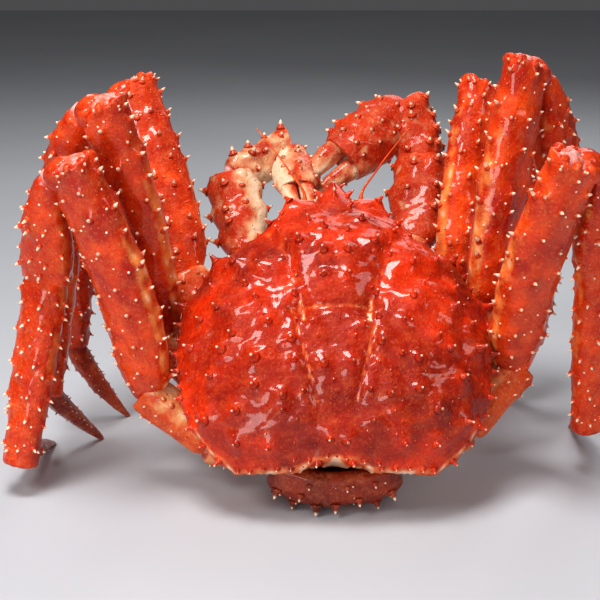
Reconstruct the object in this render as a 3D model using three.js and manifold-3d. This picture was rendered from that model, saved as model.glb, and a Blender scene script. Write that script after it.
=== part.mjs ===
// A red king crab, life size, sitting back on its folded tail with its knees up.
// Millimetres, +Z up. +X is the crab's right, +Y is the way it faces, and the floor is Z = 0.
// The origin is on the flat under the bend of the tail, where the body rests.
import * as THREE from 'three';
import { mergeVertices } from 'three/addons/utils/BufferGeometryUtils.js';
import Module from 'manifold-3d';

const wasm = await Module();
wasm.setup();

// Driving sizes of the body.
const SHELL_LENGTH = 158;
const SHELL_HALF_WIDTH = 84;
const SHELL_HEIGHT = 36;
const SHELL_FLANK = 9;
const FRONT_LIFT = 12;
const BODY_DEPTH = 44;
const BODY_PITCH = 50;
const REAR_MARGIN_Y = -34;
const REAR_MARGIN_Z = 20.6;
const GAP = 0.3;
const EDGE_ALLOWANCE = 1.35;

// Driving sizes of the spines. A spine is slim, leans toward the tip of its limb, and its root is sunk.
const SPINE_SIDES = 5;
const SPINE_SLIMNESS = 0.27;
const SPINE_BLUNTNESS = 0.4;
const SPINE_ROOT = 2.5;
const SPINE_LEAN = 0.45;

// Driving sizes of the walking legs: the lengths of their segments, and widths that all legs share.
const LEG_LENGTHS = {
  front: { ischium: 40, merus: 122, carpus: 52, propodus: 98, dactyl: 70 },
  middle: { ischium: 42, merus: 141, carpus: 58, propodus: 108, dactyl: 72 },
  hind: { ischium: 42, merus: 136, carpus: 58, propodus: 106, dactyl: 68 },
};
const MERUS_WIDTH = 31;
const CARPUS_WIDTH = 28;
const PROPODUS_WIDTH = 24;
const DACTYL_WIDTH = 12;
const KNEE_STEP = { out: 17, back: 7 };

// Each leg leaves the body at a hip and goes on by headings, in degrees ahead of straight out, and rises.
const LEGS = [
  { name: 'left_front', pair: 'front', side: -1, hip: [63.5, 91.5, -25], bow: 2,
    ischium: [44, 46], merus: [60, 55], carpus: [-64, -49], propodus: [12, -85], dactyl: [143, -58] },
  { name: 'left_middle', pair: 'middle', side: -1, hip: [70, 61.5, -26], bow: 3.5,
    ischium: [36, 38], merus: [-58, 73], carpus: [60, -58], propodus: [-54, -78], dactyl: [117, -45] },
  { name: 'left_hind', pair: 'hind', side: -1, hip: [68, 31.5, -24], bow: 7,
    ischium: [11, 38], merus: [-38, 73], carpus: [69, -67], propodus: [-40, -77], dactyl: [95, -17] },
  { name: 'right_front', pair: 'front', side: 1, hip: [56.5, 93.5, -30], bow: 2,
    ischium: [61, 27], merus: [72, 64], carpus: [-14, -67], propodus: [228, -89], dactyl: [99, -40] },
  { name: 'right_middle', pair: 'middle', side: 1, hip: [66.5, 66.5, -26.5], bow: 3.5,
    ischium: [45, 48], merus: [20, 83], carpus: [49, -66], propodus: [132, -83], dactyl: [100, -53] },
  { name: 'right_hind', pair: 'hind', side: 1, hip: [73, 39, -23.5], bow: 7,
    ischium: [33, 43], merus: [-71, 68], carpus: [72, -62], propodus: [73, -80], dactyl: [86, -24.6] },
];

// The claws, by the same headings and rises, with widths across and through. The right one is the crusher.
const CLAWS = [
  { name: 'left_claw', side: -1, hip: [36, 118, -33],
    reach: { ischium: 45, merus: 55, carpus: 43, palm: 39, finger: 32 },
    ischium: [72, 19], merus: [73, 47], carpus: [143, 16], palm: [-100, -22],
    armWidth: 27, wristWidth: 24, palmWidth: 25, palmDepth: 19,
    crest: [[-1, 0, 0], [0, 0.3, 1], [1, 0, 0]] },
  { name: 'right_claw', side: 1, hip: [36, 118, -33],
    reach: { ischium: 51, merus: 61, carpus: 42, palm: 53, finger: 36 },
    ischium: [74, 25], merus: [77, 39], carpus: [115, 49], palm: [-144, -29],
    armWidth: 32, wristWidth: 31, palmWidth: 36, palmDepth: 26,
    crest: [[1, 0, 0], [0.6, 0, 1], [-0.55, 0.26, 0.79]] },
];

const RED = '#c8371a';
const ORANGE = '#d9602b';
const CREAM = '#e6c79c';
const DARK = '#2a1c18';

const parts = [];

// The crab's own frame: x to its right, y forward from the shell's rear margin, z out of its back.
const bodyFrame = new THREE.Matrix4()
  .makeRotationX(THREE.MathUtils.degToRad(BODY_PITCH))
  .setPosition(0, REAR_MARGIN_Y, REAR_MARGIN_Z);

function bodyPoint(side, [x, y, z]) {
  return new THREE.Vector3(side * x, y, z).applyMatrix4(bodyFrame);
}

function direction(side, [heading, rise]) {
  const turn = THREE.MathUtils.degToRad(heading);
  const lift = THREE.MathUtils.degToRad(rise);
  return new THREE.Vector3(
    side * Math.cos(lift) * Math.cos(turn),
    Math.cos(lift) * Math.sin(turn),
    Math.sin(lift),
  );
}

// A frame whose z runs along a piece and whose x lies as near to the wanted crest as it can.
function frameAlong(origin, along, crest) {
  const z = along.clone().normalize();
  const x = crest.clone().addScaledVector(z, -crest.dot(z)).normalize();
  const y = new THREE.Vector3().crossVectors(z, x);
  return new THREE.Matrix4().makeBasis(x, y, z).setPosition(origin);
}

// The closed mesh of a shape in the part's frame. Grown, it stands off the plain one by the gap.
function solidOf(geometry, frame = new THREE.Matrix4(), grow = 0) {
  const copy = geometry.clone().applyMatrix4(frame);
  copy.deleteAttribute('normal');
  copy.deleteAttribute('uv');
  const closed = mergeVertices(copy, 1e-4);
  closed.computeVertexNormals();
  const { position, normal } = closed.attributes;
  for (let i = 0; i < position.count; i += 1) {
    const at = new THREE.Vector3().fromBufferAttribute(position, i);
    const out = new THREE.Vector3().fromBufferAttribute(normal, i);
    position.setXYZ(i, ...at.addScaledVector(out, grow));
  }
  return new wasm.Manifold(new wasm.Mesh({
    numProp: 3,
    vertProperties: new Float32Array(position.array),
    triVerts: new Uint32Array(closed.index.array),
  }));
}

function geometryOf(solid) {
  const mesh = solid.getMesh();
  const geometry = new THREE.BufferGeometry();
  geometry.setAttribute('position', new THREE.BufferAttribute(mesh.vertProperties, 3));
  geometry.setIndex(new THREE.BufferAttribute(mesh.triVerts, 1));
  return geometry;
}

function largest(solid) {
  return solid.decompose().reduce((best, piece) => (piece.volume() > best.volume() ? piece : best));
}

// A closed tube of rounded-square rings. A station is its height z, half the size across and through,
// how far its centre is shifted in x, and how far the ring leans back over its width.
const RING_POWER = 2.4;

function ovalTube(stations, sides) {
  const last = stations.length - 1;
  const tube = new THREE.CylinderGeometry(1, 1, 1, sides, last);
  const place = tube.attributes.position;
  for (let i = 0; i < place.count; i += 1) {
    const ring = Math.round((0.5 - place.getY(i)) * last);
    const { z, across, through, shift = 0, lean = 0 } = stations[ring];
    const cos = place.getX(i);
    const sin = place.getZ(i);
    const round = (Math.abs(cos) ** RING_POWER + Math.abs(sin) ** RING_POWER) ** (1 / RING_POWER) || 1;
    const x = across * cos / round;
    place.setXYZ(i, x + shift, through * sin / round, z - lean * x);
  }
  return tube;
}

// Adds a piece made of one or more closed shapes, and keeps a grown copy to cut its neighbours clear with.
function addPart(name, color, shapes, frame, { spines = [], roughness = 0.35 } = {}) {
  const join = (grow) => shapes
    .map((shape) => solidOf(shape, frame, grow))
    .reduce((sum, solid) => sum.add(solid));
  parts.push({ name, color, roughness, frame, spines, plain: join(0), grown: join(GAP * EDGE_ALLOWANCE) });
}

// Small uneven steps either way, the same on every run, from a seeded chain of whole numbers.
const CHAIN = { factor: 16807, limit: 2147483647 };
let link = 4711;
function jitter(size) {
  link = link * CHAIN.factor % CHAIN.limit;
  return size * (2 * link / CHAIN.limit - 1);
}

function spineAt(at, out, length) {
  const crest = Math.abs(out.x) > Math.abs(out.z) ? new THREE.Vector3(0, 0, 1) : new THREE.Vector3(1, 0, 0);
  return new THREE.ConeGeometry(SPINE_SLIMNESS * length + SPINE_BLUNTNESS, length + SPINE_ROOT, SPINE_SIDES)
    .rotateX(Math.PI / 2)
    .translate(0, 0, (length - SPINE_ROOT) / 2)
    .applyMatrix4(frameAlong(at, out, crest));
}

// A row of spines on a tube, from one share of its height to another, at an angle round from its crest.
function spineRow(stations, turn, { angle, from, to, count, length }) {
  const top = stations[stations.length - 1].z;
  return Array.from({ length: count }, (_, i) => {
    const z = top * (from + (to - from) * (i + 0.5 + jitter(0.25)) / count);
    const next = Math.max(1, stations.findIndex((ring) => ring.z >= z));
    const mix = (key) => THREE.MathUtils.mapLinear(
      z, stations[next - 1].z, stations[next].z, stations[next - 1][key], stations[next][key],
    );
    const around = turn * THREE.MathUtils.degToRad(angle + jitter(9));
    const cos = Math.cos(around);
    const sin = Math.sin(around);
    const round = (Math.abs(cos) ** RING_POWER + Math.abs(sin) ** RING_POWER) ** (1 / RING_POWER);
    const across = mix('across');
    const through = mix('through');
    const at = new THREE.Vector3(across * cos / round + mix('shift'), through * sin / round, z);
    const out = new THREE.Vector3(cos / across, sin / through, 0).normalize();
    return spineAt(at, out.setZ(SPINE_LEAN).normalize(), length * (1 + jitter(0.2)));
  });
}

// Adds a limb piece: a tube that carries rows of spines, with any further shapes that it is joined with.
function addLimb(name, color, stations, sides, frame, turn, rows, more = []) {
  const spines = rows.flatMap((row) => spineRow(stations, turn, row));
  addPart(name, color, [ovalTube(stations, sides), ...more], frame, { spines });
}

// Smooth step from 0 to 1, and a rounded rise that is 1 at its centre and fades to 0.
const smooth = (t) => THREE.MathUtils.smoothstep(t, 0, 1);
const rise = (x, y, centre, size) => {
  const reach = Math.hypot((x - centre[0]) / size[0], (y - centre[1]) / size[1]);
  return 1 - smooth(reach);
};

function between(curve, y) {
  const next = curve.findIndex(([at]) => at >= y);
  if (next <= 0) {
    return next === 0 ? curve[0][1] : curve[curve.length - 1][1];
  }
  const [y0, v0] = curve[next - 1];
  const [y1, v1] = curve[next];
  return v0 + (v1 - v0) * (y - y0) / (y1 - y0);
}

// The shell's half width and the height of its midline, as shares of its own, along its length.
const SHELL_OUTLINE = [[0, 0.55], [6, 0.61], [11, 0.67], [16, 0.75], [26, 0.85], [37, 0.925], [48, 0.97],
  [60, 0.99], [74, 1], [85, 0.99], [98, 0.95], [107, 0.89], [115, 0.82], [120, 0.76], [125, 0.69],
  [131, 0.57], [138, 0.45], [144, 0.38], [151, 0.3], [155, 0.21], [158, 0.1]];
const SHELL_PROFILE = [[0, 0.16], [10, 0.5], [26, 0.74], [50, 0.9], [80, 0.97], [112, 1], [131, 0.87],
  [146, 0.62], [158, 0.4]];
const SHELL_UNDER = [[0, 0], [12, 1], [112, 1], [158, 0.6]];
const THORAX_KEEL = [[9, 0.45], [24, 0.8], [46, 0.9], [100, 0.86], [128, 0.7], [146, 0.3]];

const shellHalf = (y) => SHELL_HALF_WIDTH * between(SHELL_OUTLINE, y);
const shellRim = (y) => FRONT_LIFT * smooth((y - 100) / 50);
const shellUnder = (y) => shellRim(y) - SHELL_FLANK * between(SHELL_UNDER, y);

// The height of the back over the shell's own plane, with its raised regions and the grooves between them.
function shellTop(x, y) {
  const out = Math.min(1, Math.abs(x) / shellHalf(y));
  const rim = shellRim(y);
  const dome = rim + (SHELL_HEIGHT * between(SHELL_PROFILE, y) - rim) * (1 - out ** 2.6) ** 0.6;
  const gastric = 4.5 * rise(x, y, [0, 116], [36, 34]);
  const cardiac = 3 * rise(x, y, [0, 62], [26, 30]);
  const branchial = 4 * rise(Math.abs(x), y, [48, 62], [36, 48]);
  const cervical = 4 * rise(Math.abs(x), y, [34, 98], [16, 26]);
  const neck = 3.5 * rise(x, y, [0, 86], [30, 9]);
  return dome + (gastric + cardiac + branchial - cervical - neck) * (1 - out ** 4);
}

// A closed body of rings along y, made from a sphere whose poles are its front and rear.
const END_DEPTH = 1;

function ringBody({ rings, ringSteps, backSteps, from, to, half, top, under }) {
  const body = new THREE.SphereGeometry(1, ringSteps, rings);
  const place = body.attributes.position;
  const steps = body.attributes.uv;
  for (let i = 0; i < place.count; i += 1) {
    const ring = Math.round((1 - steps.getY(i)) * rings);
    const step = Math.round(steps.getX(i) * ringSteps) % ringSteps;
    if (ring === 0 || ring === rings) {
      const end = ring === 0 ? to : from;
      place.setXYZ(i, 0, end, (top(0, end) + under(0, end)) / 2);
    } else {
      const y = to - END_DEPTH - (to - from - 2 * END_DEPTH) * (ring - 1) / (rings - 2);
      const onBack = step < backSteps;
      const share = onBack ? step / backSteps : 1 - (step - backSteps) / (ringSteps - backSteps);
      const x = -half(y) * Math.cos(Math.PI * share);
      place.setXYZ(i, x, y, onBack ? top(x, y) : under(x, y));
    }
  }
  return body;
}

const THORAX_SHARE = 0.82;
const thoraxHalf = (y) => THORAX_SHARE * shellHalf(Math.min(y, 136));
const thoraxTop = (y) => shellUnder(y) - GAP;
const keelShare = (out) => (1 - Math.abs(out) ** 2.2) ** 0.8;

addPart('thorax', CREAM, [ringBody({
  rings: 8,
  ringSteps: 22,
  backSteps: 8,
  from: 9,
  to: 146,
  half: thoraxHalf,
  top: (x, y) => thoraxTop(y),
  under: (x, y) => thoraxTop(y) - BODY_DEPTH * keelShare(x / thoraxHalf(y)) * between(THORAX_KEEL, y),
})], bodyFrame);

// A station of a tube: height, half width, half depth, sideways shift and lean.
const ringAt = (z, across, through, shift = 0, lean = 0) => ({ z, across, through, shift, lean });

// Rows of spines on the limbs, in degrees round from the outer edge by way of the hind face.
// Where a row starts and ends is a share of the limb's length.
const ISCHIUM_ROWS = [
  { angle: 90, from: 0.5, to: 0.9, count: 1, length: 5 },
  { angle: 160, from: 0.6, to: 0.95, count: 1, length: 5 },
];
const MERUS_ROWS = [
  { angle: 0, from: 0.15, to: 0.5, count: 1, length: 5 },
  { angle: 50, from: 0.1, to: 0.7, count: 2, length: 5 },
  { angle: 90, from: 0.15, to: 0.95, count: 3, length: 5.5 },
  { angle: 130, from: 0.25, to: 0.85, count: 2, length: 5 },
  { angle: 180, from: 0.1, to: 0.95, count: 4, length: 6.5 },
  { angle: 270, from: 0.2, to: 0.9, count: 2, length: 5 },
];
const CARPUS_ROWS = [
  { angle: 0, from: 0.3, to: 0.95, count: 2, length: 5.5 },
  { angle: 90, from: 0.35, to: 0.95, count: 2, length: 5.5 },
  { angle: 180, from: 0.75, to: 0.95, count: 1, length: 5 },
  { angle: 270, from: 0.4, to: 0.9, count: 1, length: 5 },
];
const PROPODUS_ROWS = [
  { angle: 0, from: 0.05, to: 0.95, count: 3, length: 5.5 },
  { angle: 90, from: 0.1, to: 0.95, count: 2, length: 5 },
  { angle: 180, from: 0.2, to: 0.9, count: 1, length: 5 },
  { angle: 270, from: 0.2, to: 0.9, count: 1, length: 5 },
];
const CLAW_MERUS_ROWS = [
  { angle: 0, from: 0.2, to: 0.95, count: 2, length: 6.5 },
  { angle: 90, from: 0.3, to: 0.95, count: 1, length: 5 },
  { angle: 180, from: 0.4, to: 0.95, count: 1, length: 5 },
  { angle: 270, from: 0.3, to: 0.9, count: 1, length: 5 },
];
const CLAW_CARPUS_ROWS = [
  { angle: 0, from: 0.1, to: 0.95, count: 3, length: 6.5 },
  { angle: 60, from: 0.2, to: 0.9, count: 2, length: 5 },
  { angle: 300, from: 0.2, to: 0.9, count: 1, length: 5 },
];
const PALM_ROWS = [
  { angle: 0, from: 0.1, to: 0.8, count: 3, length: 5 },
  { angle: 60, from: 0.2, to: 0.7, count: 1, length: 5 },
  { angle: 300, from: 0.2, to: 0.7, count: 2, length: 5 },
];

// The limbs, as stations of their tubes.
function coxaRings(length, wide) {
  return [
    ringAt(0, 0.8 * wide, 0.7 * wide),
    ringAt(0.5 * length, wide, 0.9 * wide),
    ringAt(length, 0.88 * wide, 0.8 * wide),
  ];
}

function ischiumRings(length, wide, deep) {
  return [
    ringAt(-5, 0.6 * wide, 0.6 * deep),
    ringAt(0.2 * length, 0.95 * wide, 0.95 * deep),
    ringAt(0.7 * length, wide, deep),
    ringAt(length + 3, 0.96 * wide, 0.9 * deep),
  ];
}

function merusRings(length, wide, deep, bow) {
  const arch = (t) => -4 * bow * t * (1 - t);
  return [
    ringAt(-5, 0.42 * wide, 0.45 * deep),
    ringAt(0.06 * length, 0.74 * wide, 0.78 * deep, arch(0.06)),
    ringAt(0.23 * length, 0.97 * wide, 0.96 * deep, arch(0.23)),
    ringAt(0.5 * length, wide, deep, arch(0.5)),
    ringAt(0.77 * length, 0.94 * wide, 0.97 * deep, arch(0.77)),
    ringAt(0.94 * length, 0.87 * wide, 0.93 * deep, arch(0.94), 0.12),
    ringAt(length + 2, 0.88 * wide, 0.93 * deep, 0, 0.3),
  ];
}

// The carpus is folded back along the merus, so its root is a knuckle that turns over the end of the merus.
const KNUCKLE = { over: 11.5, through: 7.6, across: 6.8, out: 8, back: 1 };

function carpusRings(length, wide, deep) {
  return [
    ringAt(-6, 0.36 * wide, 0.55 * deep),
    ringAt(0.04 * length, 0.54 * wide, 0.74 * deep),
    ringAt(0.3 * length, 0.72 * wide, 0.88 * deep, 0.08 * wide),
    ringAt(0.85 * length, wide, deep),
    ringAt(length + 3, 0.98 * wide, 0.98 * deep),
  ];
}

function knuckleShape(centre, angle) {
  const ball = new THREE.SphereGeometry(1, 7, 4);
  ball.scale(KNUCKLE.over, KNUCKLE.through, KNUCKLE.across);
  ball.rotateY(Math.PI - angle);
  return ball.translate(centre.x, centre.y, centre.z);
}

function propodusRings(length, wide, deep) {
  return [
    ringAt(-5, 0.5 * wide, 0.55 * deep),
    ringAt(0.07 * length, 0.98 * wide, deep),
    ringAt(0.45 * length, 0.93 * wide, 0.95 * deep),
    ringAt(0.8 * length, 0.82 * wide, 0.86 * deep),
    ringAt(length + 2, 0.78 * wide, 0.8 * deep),
  ];
}

function dactylRings(length, wide, deep, curve) {
  const arch = (t) => 4 * curve * t * (1 - t);
  return [
    ringAt(-5, 0.7 * wide, 0.7 * deep),
    ringAt(0.2 * length, wide, deep, arch(0.2)),
    ringAt(0.5 * length, 0.82 * wide, 0.82 * deep, arch(0.5)),
    ringAt(0.76 * length, 0.56 * wide, 0.58 * deep, arch(0.76)),
    ringAt(0.93 * length, 0.3 * wide, 0.32 * deep, arch(0.93)),
    ringAt(length, 0.1 * wide, 0.1 * deep),
  ];
}

function addLeg(leg) {
  const { name, side } = leg;
  const size = LEG_LENGTHS[leg.pair];
  const hip = bodyPoint(side, leg.hip);
  const root = bodyPoint(side, [leg.hip[0] - 27, leg.hip[1], leg.hip[2] - 9]);
  const ischium = direction(side, leg.ischium);
  const merus = direction(side, leg.merus);
  const carpus = direction(side, leg.carpus);
  const propodus = direction(side, leg.propodus);
  const dactyl = direction(side, leg.dactyl);

  // The knee folds in one plane: out is square to the merus, and through is square to both.
  const bend = merus.angleTo(carpus);
  const out = carpus.clone().addScaledVector(merus, -Math.cos(bend)).normalize();
  const through = new THREE.Vector3().crossVectors(merus, out);
  const lower = (along) => new THREE.Vector3().crossVectors(along, through);

  const merusRoot = hip.clone().addScaledVector(ischium, size.ischium);
  const knee = merusRoot.clone().addScaledVector(merus, size.merus);
  const carpusRoot = knee.clone()
    .addScaledVector(out, KNEE_STEP.out)
    .addScaledVector(merus, -KNEE_STEP.back);
  const propodusRoot = carpusRoot.clone().addScaledVector(carpus, size.carpus);
  const dactylRoot = propodusRoot.clone().addScaledVector(propodus, size.propodus);

  const carpusFrame = frameAlong(carpusRoot, carpus, lower(carpus));
  const knuckle = knee.clone()
    .addScaledVector(out, KNUCKLE.out)
    .addScaledVector(merus, -KNUCKLE.back)
    .applyMatrix4(carpusFrame.clone().invert());

  const coxaLine = hip.clone().sub(root);
  addLimb(`coxa_${name}`, ORANGE, coxaRings(coxaLine.length() + 2, 12.5), 6,
    frameAlong(root, coxaLine, ischium), -side, []);
  addLimb(`ischium_${name}`, RED, ischiumRings(size.ischium, 12, 10.5), 8,
    frameAlong(hip, ischium, out), -side, ISCHIUM_ROWS);
  addLimb(`merus_${name}`, RED, merusRings(size.merus, MERUS_WIDTH / 2, 11, leg.bow), 10,
    frameAlong(merusRoot, merus, out), -side, MERUS_ROWS);
  addLimb(`carpus_${name}`, RED, carpusRings(size.carpus, CARPUS_WIDTH / 2, 10.5), 10,
    carpusFrame, side, CARPUS_ROWS, [knuckleShape(knuckle, bend)]);
  addLimb(`propodus_${name}`, RED, propodusRings(size.propodus, PROPODUS_WIDTH / 2, 9.5), 10,
    frameAlong(propodusRoot, propodus, lower(propodus)), side, PROPODUS_ROWS);
  addLimb(`dactyl_${name}`, RED, dactylRings(size.dactyl, DACTYL_WIDTH / 2, 5.6, 3), 8,
    frameAlong(dactylRoot, dactyl, lower(dactyl)), side, []);
}

LEGS.forEach(addLeg);

// The claws.
function clawArmRings(length, width) {
  const wide = 0.5 * width;
  const deep = 0.41 * width;
  return [
    ringAt(-5, 0.5 * wide, 0.55 * deep),
    ringAt(0.12 * length, 0.8 * wide, 0.8 * deep),
    ringAt(0.6 * length, wide, deep),
    ringAt(0.94 * length, 0.96 * wide, 0.96 * deep),
    ringAt(length + 3, 0.8 * wide, 0.82 * deep),
  ];
}

function palmRings(length, wide, deep) {
  return [
    ringAt(-5, 0.4 * wide, 0.5 * deep),
    ringAt(0.12 * length, 0.74 * wide, 0.86 * deep),
    ringAt(0.6 * length, wide, deep),
    ringAt(0.95 * length, 0.92 * wide, 0.86 * deep),
    ringAt(length + 3, 0.8 * wide, 0.72 * deep),
  ];
}

function fixedFingerRings(length, reach, wide, deep) {
  return [
    ringAt(0.6 * length, 0.44 * wide, 0.62 * deep, -0.34 * wide),
    ringAt(length + 0.1 * reach, 0.42 * wide, 0.58 * deep, -0.46 * wide),
    ringAt(length + 0.7 * reach, 0.24 * wide, 0.32 * deep, -0.38 * wide),
    ringAt(length + 0.98 * reach, 0.08 * wide, 0.1 * deep, -0.2 * wide),
  ];
}

function fingerRings(reach, wide, deep) {
  return [
    ringAt(-6, 0.3 * wide, 0.42 * deep),
    ringAt(0.1 * reach, 0.4 * wide, 0.58 * deep),
    ringAt(0.65 * reach, 0.26 * wide, 0.36 * deep),
    ringAt(reach, 0.07 * wide, 0.1 * deep, -0.16 * wide),
  ];
}

function addClaw(claw) {
  const { name, side, reach } = claw;
  const [merusCrest, carpusCrest, palmCrest] = claw.crest.map((c) => new THREE.Vector3(...c));
  const hip = bodyPoint(side, claw.hip);
  const root = bodyPoint(side, [claw.hip[0] - 15, claw.hip[1] - 16, claw.hip[2] - 3]);
  const ischium = direction(side, claw.ischium);
  const merus = direction(side, claw.merus);
  const carpus = direction(side, claw.carpus);
  const palm = direction(side, claw.palm);
  const merusRoot = hip.clone().addScaledVector(ischium, reach.ischium);
  const wrist = merusRoot.clone().addScaledVector(merus, reach.merus);
  const palmRoot = wrist.clone().addScaledVector(carpus, reach.carpus);
  const palmFrame = frameAlong(palmRoot, palm, palmCrest);
  const wide = claw.palmWidth / 2;
  const deep = claw.palmDepth / 2;
  const fingerRoot = new THREE.Vector3(0.46 * wide, 0, reach.palm).applyMatrix4(palmFrame);

  const coxaLine = hip.clone().sub(root);
  addLimb(`coxa_${name}`, ORANGE, coxaRings(coxaLine.length() + 2, 10.5), 6,
    frameAlong(root, coxaLine, merusCrest), side, []);
  addLimb(`ischium_${name}`, ORANGE, ischiumRings(reach.ischium, 10.5, 9.5), 8,
    frameAlong(hip, ischium, merusCrest), side, []);
  addLimb(`merus_${name}`, ORANGE, clawArmRings(reach.merus, claw.armWidth), 10,
    frameAlong(merusRoot, merus, merusCrest), side, CLAW_MERUS_ROWS);
  addLimb(`carpus_${name}`, ORANGE, clawArmRings(reach.carpus, claw.wristWidth), 10,
    frameAlong(wrist, carpus, carpusCrest), side, CLAW_CARPUS_ROWS);
  addLimb(`palm_${name}`, CREAM, palmRings(reach.palm, wide, deep), 10, palmFrame, side, PALM_ROWS,
    [ovalTube(fixedFingerRings(reach.palm, reach.finger, wide, deep), 8)]);
  addLimb(`finger_${name}`, CREAM, fingerRings(reach.finger, wide, deep), 8,
    frameAlong(fingerRoot, palm, palmCrest), side, []);
}

CLAWS.forEach(addClaw);

// The mouth legs, feelers and eyes, below the beak of the shell.
const RIGHT = new THREE.Vector3(1, 0, 0);

function bentTube(points, radii, sides) {
  const path = new THREE.CatmullRomCurve3(points.map((p) => new THREE.Vector3(...p)));
  const steps = radii.length - 1;
  const tube = new THREE.CylinderGeometry(1, 1, 1, sides, steps);
  const place = tube.attributes.position;
  for (let i = 0; i < place.count; i += 1) {
    const step = Math.round((0.5 - place.getY(i)) * steps);
    const frame = frameAlong(path.getPoint(step / steps), path.getTangent(step / steps), RIGHT);
    const at = new THREE.Vector3(place.getX(i), place.getZ(i), 0).multiplyScalar(radii[step]);
    place.setXYZ(i, ...at.applyMatrix4(frame));
  }
  return tube;
}

function addFace(side, hand) {
  addPart(`maxilliped_${hand}`, ORANGE, [bentTube(
    [[side * 10, 118, -36], [side * 11, 134, -40], [side * 11, 152, -44], [side * 8, 166, -36],
      [side * 5, 170, -24]],
    [5, 6, 5.5, 4.5, 4, 3.2, 1.6],
    6,
  )], bodyFrame);
  addPart(`antenna_${hand}`, CREAM, [bentTube(
    [[side * 17, 134, -8], [side * 17, 152, -4], [side * 16, 168, 0], [side * 26, 184, 6],
      [side * 44, 206, 14]],
    [4.6, 5.2, 4.8, 3.6, 1.1, 0.9, 0.8, 0.6, 0.35],
    5,
  )], bodyFrame);
  addPart(`eye_${hand}`, DARK, [bentTube(
    [[side * 6, 136, -6], [side * 7, 152, 0], [side * 8.5, 166, 4]],
    [3, 3.2, 2.8, 4, 3.8, 1.6],
    8,
  )], bodyFrame, { roughness: 0.2 });
}

addFace(-1, 'left');
addFace(1, 'right');

// The tail is folded under the body, and its bend is the seat.
const TAIL_PATH = [[3, -7.6], [-1, -17], [2, -29], [11, -39], [26, -46], [46, -50], [70, -51], [92, -48]];
const TAIL_HALF_WIDTHS = [36, 38, 36, 33, 29, 24, 17, 8];
const TAIL_THICKNESS = 9.6;
const TAIL_RINGS = 5;

function tailShape(first, last) {
  const centre = new THREE.SplineCurve(TAIL_PATH.map(([y, z]) => new THREE.Vector2(y, z)));
  const widths = new THREE.SplineCurve(TAIL_HALF_WIDTHS.map((w, i) => new THREE.Vector2(i, w)));
  const flap = new THREE.CylinderGeometry(1, 1, 1, 12, TAIL_RINGS);
  const place = flap.attributes.position;
  for (let i = 0; i < place.count; i += 1) {
    const t = first + (last - first) * (0.5 - place.getY(i));
    const at = centre.getPoint(t);
    const along = centre.getTangent(t);
    const cos = place.getX(i);
    const sin = place.getZ(i);
    const x = widths.getPoint(t).y * Math.sign(cos) * Math.abs(cos) ** 0.6;
    const out = TAIL_THICKNESS / 2 * Math.sign(sin) * Math.abs(sin) ** 0.6;
    place.setXYZ(i, x, at.x + along.y * out, at.y - along.x * out);
  }
  return flap;
}

addPart('tail_tip', ORANGE, [tailShape(0.66, 1)], bodyFrame);
addPart('tail_middle', ORANGE, [tailShape(0.36, 0.68)], bodyFrame);
addPart('tail_base', ORANGE, [tailShape(0, 0.38)], bodyFrame);

// The shell over the back. Its spines stand in pairs: x and y on the back, and their length.
// On the margin a spine has its y, its length, and how steeply it rises for two steps out.
const GASTRIC_SPINES = [[6, 130, 6], [7, 116, 6], [6.5, 102, 5], [20, 122, 6.5], [22, 94, 5.5]];
const CARDIAC_SPINES = [[7, 56, 6], [5, 20, 5]];
const BRANCHIAL_SPINES = [[24, 76, 5], [42, 62, 6], [58, 68, 6.5], [60, 89, 6.5], [44, 42, 6], [24, 40, 5],
  [66, 34, 6.5], [46, 24, 5], [24, 28, 5]];
const MARGIN_SPINES = [[153, 6.5, 0.3], [139, 5.5, 0.6], [129, 5.5, 0.6], [119, 9, 0.8], [112, 5.5, 1.2],
  [96, 9, 1.6], [86, 6, 2.4], [71, 5.5, 2.4], [60, 5.5, 2.4], [47, 5.5, 2.4], [33, 5.5, 2.4], [14, 5.5, 1.6]];
const BEAK = { root: [0, 142, 14], tip: [0, 173, 13], radius: 8 };
const BEAK_SPINE = { at: [0, 158, 14], out: [0, 0.3, 1], length: 7 };

// A spine on the back stands square to it, and one on the margin points out from the middle of the shell.
function backSpine([x, y, length]) {
  const slope = (dx, dy) => (shellTop(x + dx, y + dy) - shellTop(x - dx, y - dy)) / 2;
  const out = new THREE.Vector3(-slope(1, 0), -slope(0, 1), 1).normalize();
  return spineAt(new THREE.Vector3(x, y, shellTop(x, y)), out, length);
}

function marginSpine(side, [y, length, lift]) {
  const slope = shellHalf(y - 1) - shellHalf(y + 1);
  const out = new THREE.Vector3(side * 2, slope, lift).normalize();
  return spineAt(new THREE.Vector3(side * (shellHalf(y) - 1.5), y, shellRim(y) + 1.5), out, length);
}

function beakShape() {
  const root = new THREE.Vector3(...BEAK.root);
  const along = new THREE.Vector3(...BEAK.tip).sub(root);
  return new THREE.ConeGeometry(BEAK.radius, along.length(), 6)
    .rotateX(Math.PI / 2)
    .translate(0, 0, along.length() / 2)
    .applyMatrix4(frameAlong(root, along, RIGHT));
}

const backSpines = [...GASTRIC_SPINES, ...CARDIAC_SPINES, ...BRANCHIAL_SPINES]
  .flatMap(([x, y, length]) => [backSpine([x, y, length]), backSpine([-x, y, length])]);
const marginSpines = MARGIN_SPINES.flatMap((spine) => [marginSpine(-1, spine), marginSpine(1, spine)]);
const beakSpine = spineAt(
  new THREE.Vector3(...BEAK_SPINE.at),
  new THREE.Vector3(...BEAK_SPINE.out),
  BEAK_SPINE.length,
);

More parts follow.
